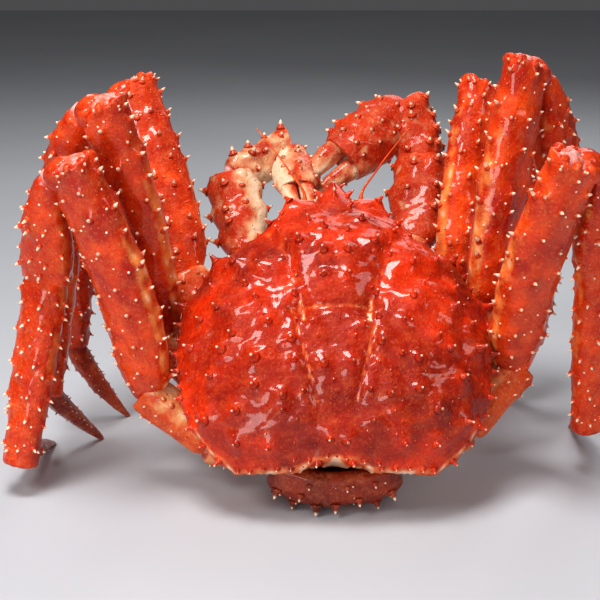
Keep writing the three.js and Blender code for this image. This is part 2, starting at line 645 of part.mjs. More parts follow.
addPart('carapace', RED, [ringBody({
  rings: 17,
  ringSteps: 32,
  backSteps: 24,
  from: 0,
  to: SHELL_LENGTH,
  half: shellHalf,
  top: shellTop,
  under: (x, y) => THREE.MathUtils.lerp(
    shellRim(y),
    shellUnder(y),
    Math.min(1, 8 * (1 - (x / shellHalf(y)) ** 2)),
  ),
}), beakShape()], bodyFrame, { spines: [...backSpines, ...marginSpines, beakSpine] });

// Whatever comes later in the list keeps its shape, and the pieces before it are cut clear of it.
const FLOOR_BOX = [900, 900, 200];
const below = solidOf(new THREE.BoxGeometry(...FLOOR_BOX).translate(0, 0, -FLOOR_BOX[2] / 2));

function cleared(part, index) {
  const { min, max } = part.plain.boundingBox();
  const meets = parts.slice(index + 1).filter(({ grown }) => {
    const box = grown.boundingBox();
    return [0, 1, 2].every((axis) => box.min[axis] < max[axis] && box.max[axis] > min[axis]);
  });
  const cut = meets.reduce((solid, { grown }) => solid.subtract(grown), part.plain);
  return largest(cut.subtract(below));
}

// A spine grows where it stands clear of every other piece and of their spines.
const grownSpines = [];

function withSpines(part, body) {
  const others = parts.filter((other) => other !== part).map((other) => other.body);
  const meets = (solid, list) => {
    const { min, max } = solid.boundingBox();
    return list.some((other) => {
      const box = other.boundingBox();
      const near = [0, 1, 2].every((axis) => box.min[axis] < max[axis] && box.max[axis] > min[axis]);
      return near && !solid.intersect(other).isEmpty();
    });
  };
  return part.spines.reduce((sum, spine) => {
    const clear = solidOf(spine, part.frame, GAP * EDGE_ALLOWANCE);
    const foreign = grownSpines.filter(({ owner }) => owner !== part).map(({ solid }) => solid);
    if (meets(clear, [...others, ...foreign, below])) {
      return sum;
    }
    grownSpines.push({ owner: part, solid: clear });
    return sum.add(solidOf(spine, part.frame));
  }, body);
}

parts.forEach((part, index) => {
  part.body = cleared(part, index);
});

const crab = new THREE.Group();
parts.forEach((part) => {
  const mesh = new THREE.Mesh(
    geometryOf(largest(withSpines(part, part.body))).applyMatrix4(part.frame.clone().invert()),
    new THREE.MeshStandardMaterial({ color: part.color, roughness: part.roughness, metalness: 0 }),
  );
  mesh.name = part.name;
  part.frame.decompose(mesh.position, mesh.quaternion, mesh.scale);
  crab.add(mesh);
});

export default crab;
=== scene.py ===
import math
import random

import bmesh
import bpy
import numpy as np
from mathutils import Matrix, Vector


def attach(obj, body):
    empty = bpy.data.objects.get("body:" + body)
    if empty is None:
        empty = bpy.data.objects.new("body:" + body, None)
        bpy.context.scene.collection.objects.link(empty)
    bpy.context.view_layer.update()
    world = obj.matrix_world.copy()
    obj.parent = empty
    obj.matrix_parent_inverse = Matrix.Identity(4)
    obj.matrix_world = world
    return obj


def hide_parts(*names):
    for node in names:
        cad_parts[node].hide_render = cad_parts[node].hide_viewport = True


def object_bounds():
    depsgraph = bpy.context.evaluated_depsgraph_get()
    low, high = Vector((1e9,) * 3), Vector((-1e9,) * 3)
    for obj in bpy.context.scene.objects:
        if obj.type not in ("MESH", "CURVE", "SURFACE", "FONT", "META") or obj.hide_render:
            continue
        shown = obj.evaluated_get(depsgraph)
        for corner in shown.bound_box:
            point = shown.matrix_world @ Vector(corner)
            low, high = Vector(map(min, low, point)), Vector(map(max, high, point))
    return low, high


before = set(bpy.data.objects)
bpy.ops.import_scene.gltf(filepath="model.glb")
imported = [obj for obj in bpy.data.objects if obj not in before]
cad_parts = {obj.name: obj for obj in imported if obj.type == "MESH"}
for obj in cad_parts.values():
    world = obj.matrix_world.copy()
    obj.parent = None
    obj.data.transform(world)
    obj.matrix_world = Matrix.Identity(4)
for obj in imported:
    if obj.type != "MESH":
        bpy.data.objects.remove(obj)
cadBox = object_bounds()
boxGap = 0.0001   # metres kept free inside the frame's box
boxLimits = [[c + boxGap for c in cadBox[0][:2]] + [0.0], [c - boxGap for c in cadBox[1]]]
print("frame loaded")

# the crab is laid out in millimetres and brought to metres as each piece is finished
mm = 0.001
chance = random.Random(23)
marks = ("tip", "pale", "soft", "deep")   # what the vertices carry for the materials


# smooth tables and waves

def along(table, x):
    # a smooth curve through [place, value] pairs that never swings past them
    place, value = np.array(table, float).T
    gap = np.diff(place)
    slope = np.diff(value) / gap
    lean = np.zeros_like(value)
    lean[0], lean[-1] = slope[0], slope[-1]
    same = slope[:-1] * slope[1:] > 0
    both = np.where(same, slope[:-1] + slope[1:], 1)
    lean[1:-1] = np.where(same, 2 * slope[:-1] * slope[1:] / both, 0)
    i = np.clip(np.searchsorted(place, x) - 1, 0, len(gap) - 1)
    t = np.clip((x - place[i]) / gap[i], 0, 1)
    rise = value[i] * (1 + 2 * t) * (1 - t) ** 2 + value[i + 1] * t * t * (3 - 2 * t)
    return rise + gap[i] * (lean[i] * t * (1 - t) ** 2 - lean[i + 1] * t * t * (1 - t))


def smoothStep(low, high, x):
    t = np.clip((x - low) / (high - low), 0, 1)
    return t * t * (3 - 2 * t)


def waves(place, size, seed):
    # soft unevenness from a few crossing waves, about -1 to 1
    dice = random.Random(seed)
    total = np.zeros(len(place))
    for _ in range(7):
        way = Vector((dice.gauss(0, 1), dice.gauss(0, 1), dice.gauss(0, 1))).normalized()
        total += np.sin(place @ np.array(way) * dice.uniform(0.6, 1.5) * math.tau / size + dice.uniform(0, math.tau))
    return total / 3.5


def curve(values):
    # a smooth curve through values that stand at even steps from 0 to 1
    table = np.column_stack([np.linspace(0, 1, len(values)), values])
    return lambda t: along(table, t)


def hump(x, y, centre, size):
    return np.exp(-((x - centre[0]) / size[0]) ** 2 - ((y - centre[1]) / size[1]) ** 2)


def lineDistance(x, y, points):
    # how far each place lies from a bent line
    best = np.full(np.shape(x), 1e9)
    for (ax, ay), (bx, by) in zip(points, points[1:]):
        t = np.clip(((x - ax) * (bx - ax) + (y - ay) * (by - ay)) / ((bx - ax) ** 2 + (by - ay) ** 2), 0, 1)
        best = np.minimum(best, np.hypot(x - ax - t * (bx - ax), y - ay - t * (by - ay)))
    return best


# spines

spineForm = {
    # half width and height up the side of a spine, as shares, its steps round, and how pale its top is;
    # the foot flares out and is sunk
    "spine": ([(1.5, -0.2), (1.0, 0.02), (0.76, 0.2), (0.58, 0.42), (0.42, 0.66), (0.25, 0.88), (0.0, 1.0)], 8, 1.0),
    "grain": ([(1.3, -0.25), (0.95, 0.15), (0.6, 0.62), (0.0, 1.0)], 6, 1.0),
    "bead": ([(1.3, -0.25), (0.95, 0.15), (0.6, 0.62), (0.0, 1.0)], 6, 0.35),
}


def turnedSpine(kind):
    profile, steps, paleTop = spineForm[kind]
    bm = bmesh.new()
    line = [bm.verts.new((r, 0, z)) for r, z in profile]
    line += [bm.edges.new(pair) for pair in zip(line, line[1:])]
    bmesh.ops.spin(bm, geom=line, cent=(0, 0, 0), axis=(0, 0, 1), angle=math.tau, steps=steps, use_merge=True)
    bmesh.ops.remove_doubles(bm, verts=bm.verts, dist=1e-4)
    bmesh.ops.holes_fill(bm, edges=bm.edges)
    bmesh.ops.recalc_face_normals(bm, faces=bm.faces)
    tip = bm.verts.layers.float.new("tip")
    for v in bm.verts:
        v[tip] = paleTop * max(0, v.co.z)
    mesh = bpy.data.meshes.new(kind)
    bm.to_mesh(mesh)
    bm.free()
    return mesh


spineMesh = {kind: turnedSpine(kind) for kind in spineForm}


def addSpines(bm, sites):
    # each site is its place, the way it points, its length, its half width and its kind
    for place, out, length, width, kind in sites:
        spine = spineMesh[kind].copy()
        turn = Vector(out).to_track_quat("Z", "Y")
        spine.transform(Matrix.LocRotScale(Vector(place), turn, Vector((width, width, length))))
        bm.from_mesh(spine)
        bpy.data.meshes.remove(spine)


# closed bodies

def newShape():
    bm = bmesh.new()
    for name in marks:
        bm.verts.layers.float.new(name)
    return bm


def ballRings(bm, around, rings):
    # a ball's points, how far down it each one is (0 to 1) and how far round
    ball = bmesh.ops.create_uvsphere(bm, u_segments=around, v_segments=rings, radius=1)["verts"]
    raw = np.array([v.co for v in ball])
    down = np.arccos(np.clip(raw[:, 2], -1, 1)) / math.pi
    return ball, down, np.arctan2(raw[:, 1], raw[:, 0])


def outward(lay, down, turn):
    # the way out of the surface that lay(down, turn) gives
    step = 0.002
    low, high = np.clip(down - step, 0.001, 0.999), np.clip(down + step, 0.001, 0.999)
    rise = lay(high, turn) - lay(low, turn)
    side = lay(down, turn + step) - lay(down, turn - step)
    out = np.cross(side, rise)
    out /= np.linalg.norm(out, axis=1)[:, None] + 1e-9
    middle = lay(down, turn)
    if np.sum(out * (middle - middle.mean(axis=0))) < 0:
        out = -out
    return out


def moundsUnder(place, sites, stretch, height):
    # draws the surface up into a peak under each spine, along the way the spine points, and gives a painted shade
    # mark:
    #     # darker red on the root side of each peak, where light from above leaves it in shadow, or all round its
    #     foot where the
    #     # peak is not stretched; on a limb the peak runs out longer toward the limb's root. A site is index, way,
    #     length, half width.
    lift = np.zeros_like(place)
    deep = np.zeros(len(place))
    for index, way, length, width in sites:
        off = place - place[index]
        run = off[:, 2] if stretch > 1 else np.zeros(len(place))
        side = np.sqrt(np.maximum(0, (off ** 2).sum(axis=1) - run ** 2))
        size = 2.3 * width + 0.5
        reach = size * np.where(run < 0, stretch, 1.0)
        far = np.sqrt((side / size) ** 2 + (run / reach) ** 2)
        near = height * length * np.exp(-far ** 1.5)
        lift = np.where((near > np.linalg.norm(lift, axis=1))[:, None], near[:, None] * way, lift)
        # painted shade: darker red on the root side of the peak, standing in for the shadow under it
        deep = np.maximum(deep, np.exp(-(side / size / 1.3) ** 2 - ((run + size) / size / 1.5) ** 2))
    return place + lift, deep


def drawnSpines(place, sites, height, share=0.6):
    # what is left of each spine above its own peak; a share of the grains is white
    ready = []
    for index, way, length, width in sites:
        kind = "spine" if length > 1.8 else "grain" if (index * 7) % 10 < share * 10 else "bead"
        if kind == "spine":
            length, width = length * (1.12 - height), width * (1 - 0.5 * height)
        ready.append((place[index] - 0.25 * way, way, length, width, kind))
    return ready


def setBall(bm, ball, place, values):
    layers = {name: bm.verts.layers.float[name] for name in values}
    for i, v in enumerate(ball):
        v.co = place[i]
        for name, layer in layers.items():
            v[layer] = float(values[name][i])
    faces = list({face for v in ball for face in v.link_faces})
    bmesh.ops.recalc_face_normals(bm, faces=faces)


def plainShape(bm, around, rings, lay, values, uneven):
    # a plain closed body with no spines
    ball, down, turn = ballRings(bm, around, rings)
    place = lay(down, turn)
    out = outward(lay, down, turn)
    place = place + out * (uneven[0] * waves(place, uneven[1], around + rings))[:, None]
    setBall(bm, ball, place, values(down, turn, place))


def finishPiece(node, bm, matrix, material):
    bmesh.ops.transform(bm, matrix=Matrix.Scale(mm, 4) @ matrix, verts=bm.verts)
    for v in bm.verts:
        # what would pass through the floor or out of the frame's box is pressed flat onto it
        v.co = [min(max(c, low), high) for c, low, high in zip(v.co, *boxLimits)]
    name = node + "_shape"
    mesh = bpy.data.meshes.new(name)
    bm.to_mesh(mesh)
    bm.free()
    mesh.shade_smooth()
    mesh.materials.append(material)
    piece = bpy.data.objects.new(name, mesh)
    bpy.context.scene.collection.objects.link(piece)
    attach(piece, "root")
    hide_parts(node)
    return piece


# materials

def groupSockets(tree, inputs, outputs):
    for name, kind, value in inputs:
        socket = tree.interface.new_socket(name=name, in_out="INPUT", socket_type=kind)
        socket.default_value = value
    for name, kind in outputs:
        tree.interface.new_socket(name=name, in_out="OUTPUT", socket_type=kind)


def wire(tree, kind, links, **settings):
    # a node with its inputs linked or set, by name or number
    node = tree.nodes.new(kind)
    for key, value in settings.items():
        setattr(node, key, value)
    for key, value in links.items():
        socket = node.inputs[key]
        if isinstance(value, bpy.types.NodeSocket):
            tree.links.new(value, socket)
        else:
            socket.default_value = value
    return node


def ramp(tree, value, *stops):
    node = wire(tree, "ShaderNodeValToRGB", {"Fac": value})
    bar = node.color_ramp
    while len(bar.elements) < len(stops):
        bar.elements.new(0.5)
    for element, (place, level) in zip(bar.elements, stops):
        element.position = place
        element.color = (level, level, level, 1)
    return node.outputs["Color"]


def blendColour(tree, share, a, b, way="MIX"):
    node = wire(tree, "ShaderNodeMix", {}, data_type="RGBA", blend_type=way)
    for socket, value in ((node.inputs["Factor"], share), (node.inputs[6], a), (node.inputs[7], b)):
        if isinstance(value, bpy.types.NodeSocket):
            tree.links.new(value, socket)
        else:
            socket.default_value = value
    return node.outputs[2]


def sums(tree, operation, a, b):
    return wire(tree, "ShaderNodeMath", {0: a, 1: b}, operation=operation).outputs[0]


def shellSkinGroup():
    # cooked crab shell: cloudy reds, fine pale and dark specks, cream spine tips, pale worn places, and painted shade
    # from the vertex marks
    tree = bpy.data.node_groups.new("shellSkin", "ShaderNodeTree")
    groupSockets(tree, [
        ("Bright", "NodeSocketColor", (0.6, 0.1, 0.02, 1)),
        ("Deep", "NodeSocketColor", (0.35, 0.02, 0.01, 1)),
        ("Pale", "NodeSocketColor", (0.8, 0.5, 0.25, 1)),
        ("Bone", "NodeSocketColor", (0.9, 0.75, 0.5, 1)),
        ("Membrane", "NodeSocketColor", (0.75, 0.4, 0.38, 1)),
        ("Speck Amount", "NodeSocketFloat", 1.0),
        ("Cloud Size", "NodeSocketFloat", 22.0),
        ("Pale Amount", "NodeSocketFloat", 0.0),
        ("Dark Specks", "NodeSocketFloat", 0.6),
        ("Dark Tips", "NodeSocketFloat", 0.2),
        ("Tip Start", "NodeSocketFloat", 0.2),
    ], [("Color", "NodeSocketColor"), ("Roughness", "NodeSocketFloat"), ("Height", "NodeSocketFloat")])
    given = tree.nodes.new("NodeGroupInput").outputs
    where = tree.nodes.new("ShaderNodeTexCoord").outputs["Object"]
    mark = {name: wire(tree, "ShaderNodeAttribute", {}, attribute_name=name).outputs["Fac"] for name in marks}

    def times(a, b):
        return sums(tree, "MULTIPLY", a, b)

    def plus(a, b):
        return sums(tree, "ADD", a, b)

    def paint(share, under, over):
        return blendColour(tree, share, under, over)

    def noise(scale, detail=3.0, rough=0.55):
        return wire(tree, "ShaderNodeTexNoise",
                    {"Vector": where, "Scale": scale, "Detail": detail, "Roughness": rough})

    def specks(scale, size, thin):
        # small round dots, some of them left out
        dots = wire(tree, "ShaderNodeTexVoronoi", {"Vector": where, "Scale": scale, "Randomness": 1.0})
        dot = ramp(tree, dots.outputs["Distance"], (size * 0.55, 1), (size, 0))
        some = wire(tree, "ShaderNodeSeparateColor", {"Color": dots.outputs["Color"]}).outputs["Red"]
        return times(dot, ramp(tree, some, (thin, 0), (thin + 0.04, 1)))

    cloud = noise(given["Cloud Size"], 4.0, 0.6).outputs["Fac"]
    fine = noise(160.0, 4.0, 0.6).outputs["Fac"]
    patch = noise(70.0, 3.0, 0.6).outputs["Fac"]
    tone = plus(times(cloud, 0.65), times(patch, 0.35))
    colour = paint(ramp(tree, tone, (0.38, 0), (0.58, 1)), given["Deep"], given["Bright"])
    # partly the shell's own deeper red, partly painted shade below spine peaks and painted light round the shell's
    # bosses
    colour = paint(times(mark["deep"], 0.6), colour, given["Deep"])
    mottle = times(ramp(tree, fine, (0.48, 0), (0.72, 1)), 0.16)
    colour = paint(mottle, colour, given["Pale"])
    grit = noise(620.0, 3.0, 0.7).outputs["Fac"]
    lightGrit = times(ramp(tree, grit, (0.54, 0), (0.72, 1)), 0.32)
    colour = paint(lightGrit, colour, given["Pale"])
    darkGrit = times(ramp(tree, grit, (0.28, 1), (0.46, 0)), 0.5)
    colour = paint(darkGrit, colour, given["Deep"])

    # worn, cream-coloured places, broken up by the clouds
    wear = plus(mark["pale"], given["Pale Amount"])
    wear = plus(wear, times(sums(tree, "SUBTRACT", fine, 0.5), 0.9))
    wear = ramp(tree, wear, (0.3, 0), (0.85, 1))
    colour = paint(times(wear, 0.92), colour, given["Pale"])
    bony = ramp(tree, plus(mark["pale"], given["Pale Amount"]), (0.75, 0), (1.0, 1))
    colour = paint(times(bony, 0.75), colour, given["Bone"])

    # pale and dark specks, spine tips, and the folded skin of the joints
    light = times(specks(420.0, 0.24, 0.35), given["Speck Amount"])
    colour = paint(times(light, 0.6), colour, given["Pale"])
    edge = plus(times(mark["pale"], 0.6), given["Dark Specks"])
    dark = times(specks(300.0, 0.15, 0.5), sums(tree, "MINIMUM", edge, 1.0))
    colour = paint(dark, colour, (0.07, 0.012, 0.008, 1))
    aboveStart = sums(tree, "MAXIMUM", sums(tree, "SUBTRACT", mark["tip"], given["Tip Start"]), 0.0)
    tip = sums(tree, "MINIMUM", times(aboveStart, 4.0), 1.0)
    colour = paint(tip, colour, given["Bone"])
    chosen = ramp(tree, noise(60.0, 1.0).outputs["Fac"], (0.42, 0), (0.5, 1))
    point = times(times(ramp(tree, mark["tip"], (0.8, 0), (0.92, 1)), chosen), given["Dark Tips"])
    colour = paint(point, colour, (0.06, 0.012, 0.008, 1))
    folds = ramp(tree, noise(230.0, 2.0).outputs["Fac"], (0.42, 0), (0.62, 1))
    skin = paint(times(folds, 0.8), given["Membrane"], given["Bright"])
    colour = paint(mark["soft"], colour, skin)

    rough = plus(times(fine, 0.22), 0.3)
    bumps = times(noise(420.0, 3.0, 0.6).outputs["Fac"], 0.9)
    bumps = plus(bumps, times(noise(95.0, 2.0, 0.5).outputs["Fac"], 1.6))
    bumps = plus(bumps, times(specks(420.0, 0.3, 0.3), 0.5))
    out = tree.nodes.new("NodeGroupOutput")
    tree.links.new(colour, out.inputs["Color"])
    tree.links.new(rough, out.inputs["Roughness"])
    tree.links.new(bumps, out.inputs["Height"])
    return tree


skinGroup = shellSkinGroup()

shellColours = {
    "common": {"Bone": (0.95, 0.7, 0.5, 1), "Membrane": (0.74, 0.38, 0.34, 1)},
    "backShell": {"Bright": (0.7, 0.033, 0.0015, 1), "Deep": (0.24, 0.009, 0.002, 1), "Pale": (0.82, 0.2, 0.055, 1),
                  "Cloud Size": 20.0, "Speck Amount": 0.35, "Dark Specks": 0.3, "Dark Tips": 0.85, "Tip Start": 0.66},
    "legShell": {"Bright": (0.88, 0.08, 0.006, 1), "Deep": (0.42, 0.014, 0.003, 1), "Pale": (0.88, 0.3, 0.08, 1),
                 "Cloud Size": 30.0, "Speck Amount": 0.7, "Dark Specks": 0.6, "Dark Tips": 0.6},
    "legTip": {"Bright": (0.5, 0.055, 0.01, 1), "Deep": (0.25, 0.012, 0.005, 1), "Pale": (0.8, 0.34, 0.12, 1),
               "Cloud Size": 40.0, "Speck Amount": 0.6, "Dark Specks": 0.8, "Dark Tips": 0.5},
    "legBase": {"Bright": (0.8, 0.13, 0.02, 1), "Deep": (0.55, 0.035, 0.007, 1), "Pale": (0.84, 0.46, 0.2, 1),
                "Cloud Size": 45.0, "Speck Amount": 0.6, "Pale Amount": 0.08},
    "clawShell": {"Bright": (0.68, 0.06, 0.008, 1), "Deep": (0.4, 0.02, 0.003, 1), "Pale": (0.76, 0.42, 0.22, 1),
                  "Cloud Size": 38.0, "Speck Amount": 0.5, "Dark Specks": 0.9, "Dark Tips": 0.7, "Tip Start": 0.3,
                  "Bone": (0.8, 0.63, 0.45, 1)},
    "belly": {"Bright": (0.84, 0.46, 0.24, 1), "Deep": (0.74, 0.22, 0.08, 1), "Pale": (0.88, 0.66, 0.42, 1),
              "Cloud Size": 30.0, "Pale Amount": 0.2, "Dark Specks": 0.5},
    "tailShell": {"Bright": (0.34, 0.034, 0.008, 1), "Deep": (0.13, 0.009, 0.004, 1), "Pale": (0.6, 0.24, 0.1, 1),
                  "Cloud Size": 40.0, "Speck Amount": 0.6, "Dark Specks": 0.6, "Tip Start": 0.5},
}


gloss = {
    "bump": 0.0008, "bumpStrength": 0.8, "specular": 0.15,
    "coat": 0.55, "dullCoat": 0.35, "dull": ("clawShell", "belly", "legBase"), "coatRoughness": 0.1,
    "glow": 0.06, "glowReach": (0.006, 0.002, 0.001),
}


def shellMaterial(name):
    material = bpy.data.materials.new(name)
    material.use_nodes = True
    tree = material.node_tree
    shader = tree.nodes["Principled BSDF"]
    group = tree.nodes.new("ShaderNodeGroup")
    group.node_tree = skinGroup
    for key, value in {**shellColours["common"], **shellColours[name]}.items():
        group.inputs[key].default_value = value
    tree.links.new(group.outputs["Color"], shader.inputs["Base Color"])
    tree.links.new(group.outputs["Roughness"], shader.inputs["Roughness"])
    relief = wire(tree, "ShaderNodeBump", {"Height": group.outputs["Height"], "Strength": gloss["bumpStrength"],
                                           "Distance": gloss["bump"]})
    tree.links.new(relief.outputs["Normal"], shader.inputs["Normal"])
    shader.inputs["Specular IOR Level"].default_value = gloss["specular"]
    shader.inputs["Coat Weight"].default_value = gloss["dullCoat" if name in gloss["dull"] else "coat"]
    shader.inputs["Coat Roughness"].default_value = gloss["coatRoughness"]
    shader.inputs["Subsurface Weight"].default_value = gloss["glow"]
    shader.inputs["Subsurface Radius"].default_value = gloss["glowReach"]
    return material


shells = {name: shellMaterial(name) for name in shellColours if name != "common"}
print("materials made")


# the skeleton: the same headings, rises and lengths as the frame's limbs

crab = {
    "pitch": 50,              # how far the back is tilted up, in degrees
    "rear": (0, -34, 20.6),   # rear edge of the shell
    "limbLengths": {
        "front": {"ischium": 40, "merus": 122, "carpus": 52, "propodus": 98, "dactyl": 70},
        "middle": {"ischium": 42, "merus": 141, "carpus": 58, "propodus": 108, "dactyl": 72},
        "hind": {"ischium": 42, "merus": 136, "carpus": 58, "propodus": 106, "dactyl": 68},
    },
    "kneeOut": 17,            # where the carpus starts, out and back from the knee
    "kneeBack": 7,
}

# hip in the body's own frame, then each segment's heading ahead of straight out, and its rise
legs = {
    "left_front": {"side": -1, "hip": (63.5, 91.5, -25), "bow": 2, "ischium": (44, 46), "merus": (60, 55),
                   "carpus": (-64, -49), "propodus": (12, -85), "dactyl": (143, -58)},
    "left_middle": {"side": -1, "hip": (70, 61.5, -26), "bow": 3.5, "ischium": (36, 38), "merus": (-58, 73),
                    "carpus": (60, -58), "propodus": (-54, -78), "dactyl": (117, -45)},
    "left_hind": {"side": -1, "hip": (68, 31.5, -24), "bow": 7, "ischium": (11, 38), "merus": (-38, 73),
                  "carpus": (69, -67), "propodus": (-40, -77), "dactyl": (95, -17)},
    "right_front": {"side": 1, "hip": (56.5, 93.5, -30), "bow": 2, "ischium": (61, 27), "merus": (72, 64),
                    "carpus": (-14, -67), "propodus": (228, -89), "dactyl": (99, -40)},
    "right_middle": {"side": 1, "hip": (66.5, 66.5, -26.5), "bow": 3.5, "ischium": (45, 48), "merus": (20, 83),
                     "carpus": (49, -66), "propodus": (132, -83), "dactyl": (100, -53)},
    "right_hind": {"side": 1, "hip": (73, 39, -23.5), "bow": 7, "ischium": (33, 43), "merus": (-71, 68),
                   "carpus": (72, -62), "propodus": (73, -80), "dactyl": (86, -24.6)},
}

claws = {
    "left_claw": {"side": -1, "hip": (36, 118, -33),
                  "reach": {"ischium": 45, "merus": 55, "carpus": 43, "palm": 39, "finger": 32},
                  "ischium": (72, 19), "merus": (73, 47), "carpus": (143, 16), "palm": (-100, -22),
                  "ischiumHalf": (10.5, 9.5), "armWidth": 27, "wristWidth": 24, "palmWidth": 25, "palmDepth": 19,
                  "pale": 0.45, "cream": 0.75,
                  "crest": ((-1, 0, 0), (0, 0.3, 1), (1, 0, 0))},
    "right_claw": {"side": 1, "hip": (36, 118, -33),
                   "reach": {"ischium": 51, "merus": 61, "carpus": 42, "palm": 53, "finger": 36},
                   "ischium": (74, 25), "merus": (77, 39), "carpus": (115, 49), "palm": (-144, -29),
                   "ischiumHalf": (10.5, 9.5), "armWidth": 32, "wristWidth": 31, "palmWidth": 36, "palmDepth": 26,
                   "pale": -0.05, "cream": 0.3,
                   "crest": ((1, 0, 0), (0.6, 0, 1), (-0.55, 0.26, 0.79))},
}

bodyMatrix = Matrix.Translation(crab["rear"]) @ Matrix.Rotation(math.radians(crab["pitch"]), 4, "X")


def bodyPoint(side, place):
    return bodyMatrix @ Vector((side * place[0], place[1], place[2]))


def heading(side, angles):
    turn, lift = math.radians(angles[0]), math.radians(angles[1])
    return Vector((side * math.cos(lift) * math.cos(turn), math.cos(lift) * math.sin(turn), math.sin(lift)))


def frameAlong(origin, way, crest):
    # z runs along a segment, and x lies as near as it can to the wanted crest
    z = way.normalized()
    x = (crest - z * crest.dot(z)).normalized()
    y = z.cross(x)
    turn = Matrix((x, y, z)).transposed().to_4x4()
    return Matrix.Translation(origin) @ turn


# limb segments

def tubeLay(stations, power=2.35, rimWave=0.0):
    # stations down a limb: height, half width, half depth, sideways shift, lean of the ring, softness
    table = np.array(stations, float)
    run = np.concatenate([[0], np.cumsum(np.hypot(np.diff(table[:, 0]), np.diff(table[:, 1])))])
    run /= run[-1]
    top = table[:, 0].max()
    tables = [np.column_stack([run, table[:, k]]) for k in range(6)]

    def lay(down, turn):
        z, across, through, shift, lean = (along(tables[k], down) for k in range(5))
        c, s = np.cos(turn), np.sin(turn)
        k = (np.abs(c) ** power + np.abs(s) ** power) ** (-1 / power)
        x = across * k * c
        # the rim stands higher at both edges and dips on the flat sides
        z = z + rimWave * smoothStep(0.86 * top, 0.99 * top, z) * (np.cos(2 * turn) + 0.25 * np.cos(5 * turn + 1))
        return np.column_stack([x + shift, through * k * s, z - lean * x])

    return lay, tables[5]


def limb(bm, stations, around, rings, turnWay, rows, paleAt, seed, stretch=2.2, uneven=(0.3, 24), mound=0.4,
         rimWave=0.0):
    # a limb segment with its spines; a row is angle, start, end, count, length, half width, and paleAt says
    # where the segment is rubbed pale
    lay, softness = tubeLay(stations, rimWave=rimWave)
    ball, down, turn = ballRings(bm, around, rings)
    place = lay(down, turn)
    out = outward(lay, down, turn)
    soft = np.clip(along(softness, down), 0, 1)
    rough = uneven[0] * waves(place, uneven[1], seed) + 0.14 * waves(place, 5, seed + 1)
    place = place + out * (rough + 0.5 * soft * waves(place, 4, seed + 2))[:, None]
    length = max(row[0] for row in stations)
    dice = random.Random(seed)
    sites = []
    for angle, start, end, count, size, width in rows:
        for i in range(count):
            z = length * (start + (end - start) * (i + 0.5 + dice.uniform(-0.28, 0.28)) / count)
            wanted = turnWay * math.radians(angle + dice.uniform(-9, 9))
            apart = np.abs((turn - wanted + math.pi) % math.tau - math.pi)
            index = int(np.argmin((place[:, 2] - z) ** 2 + (11 * apart) ** 2 + 1e4 * (soft > 0.1)))
            way = out[index] + np.array([0, 0, dice.uniform(0.3, 0.75) if size > 1.8 else 0])
            k = dice.uniform(0.75, 1.25)
            sites.append((index, way / np.linalg.norm(way), size * k, width * (0.6 + 0.4 * k)))
    # the peaks bring painted shade on their root side, kept off the soft joint skin
    place, deep = moundsUnder(place, [site for site in sites if site[2] > 1.8], stretch, mound)
    pale = paleAt(down, turn, place)
    setBall(bm, ball, place, {"soft": soft, "deep": deep * (1 - soft), "pale": pale * (1 - soft)})
    addSpines(bm, drawnSpines(place, sites, mound))


def neckAndCup(stations, neck, sink, cup, band=0):
    # closes a segment with a soft neck at its root and a hollow soft joint inside its far rim
    z, w, d, shift, lean = stations[0]
    thick = 0.4 + 0.6 * neck
    root = [(z - sink, 0, 0, shift, 0, 1), (z - sink, 0.5 * neck * w, 0.5 * neck * d, shift, 0, 1),
            (z - 0.35 * sink, neck * w, neck * d, shift, 0, 1),
            (z - 0.6, 0.9 * w * thick, 0.9 * d * thick, shift, 0, 0.35)]
    z, w, d, shift, lean = stations[-1]
    rim = [(z + 0.5, 0.985 * w, 0.985 * d, shift, lean, band),
           (z + 0.7, 0.92 * w, 0.91 * d, shift, lean, max(band, 0.1)),
           (z - 0.4, 0.84 * w, 0.82 * d, shift, lean, 0.8),
           (z - 0.3 * cup - 0.6, 0.7 * w, 0.7 * d, shift, lean, 1),
           (z - cup - 0.3, 0.36 * w, 0.4 * d, shift + 0.2 * w, 0.5 * lean, 1),
           (z - cup - 0.5, 0, 0, shift + 0.2 * w, 0, 1)]
    return root + [(*station, 0) for station in stations] + rim


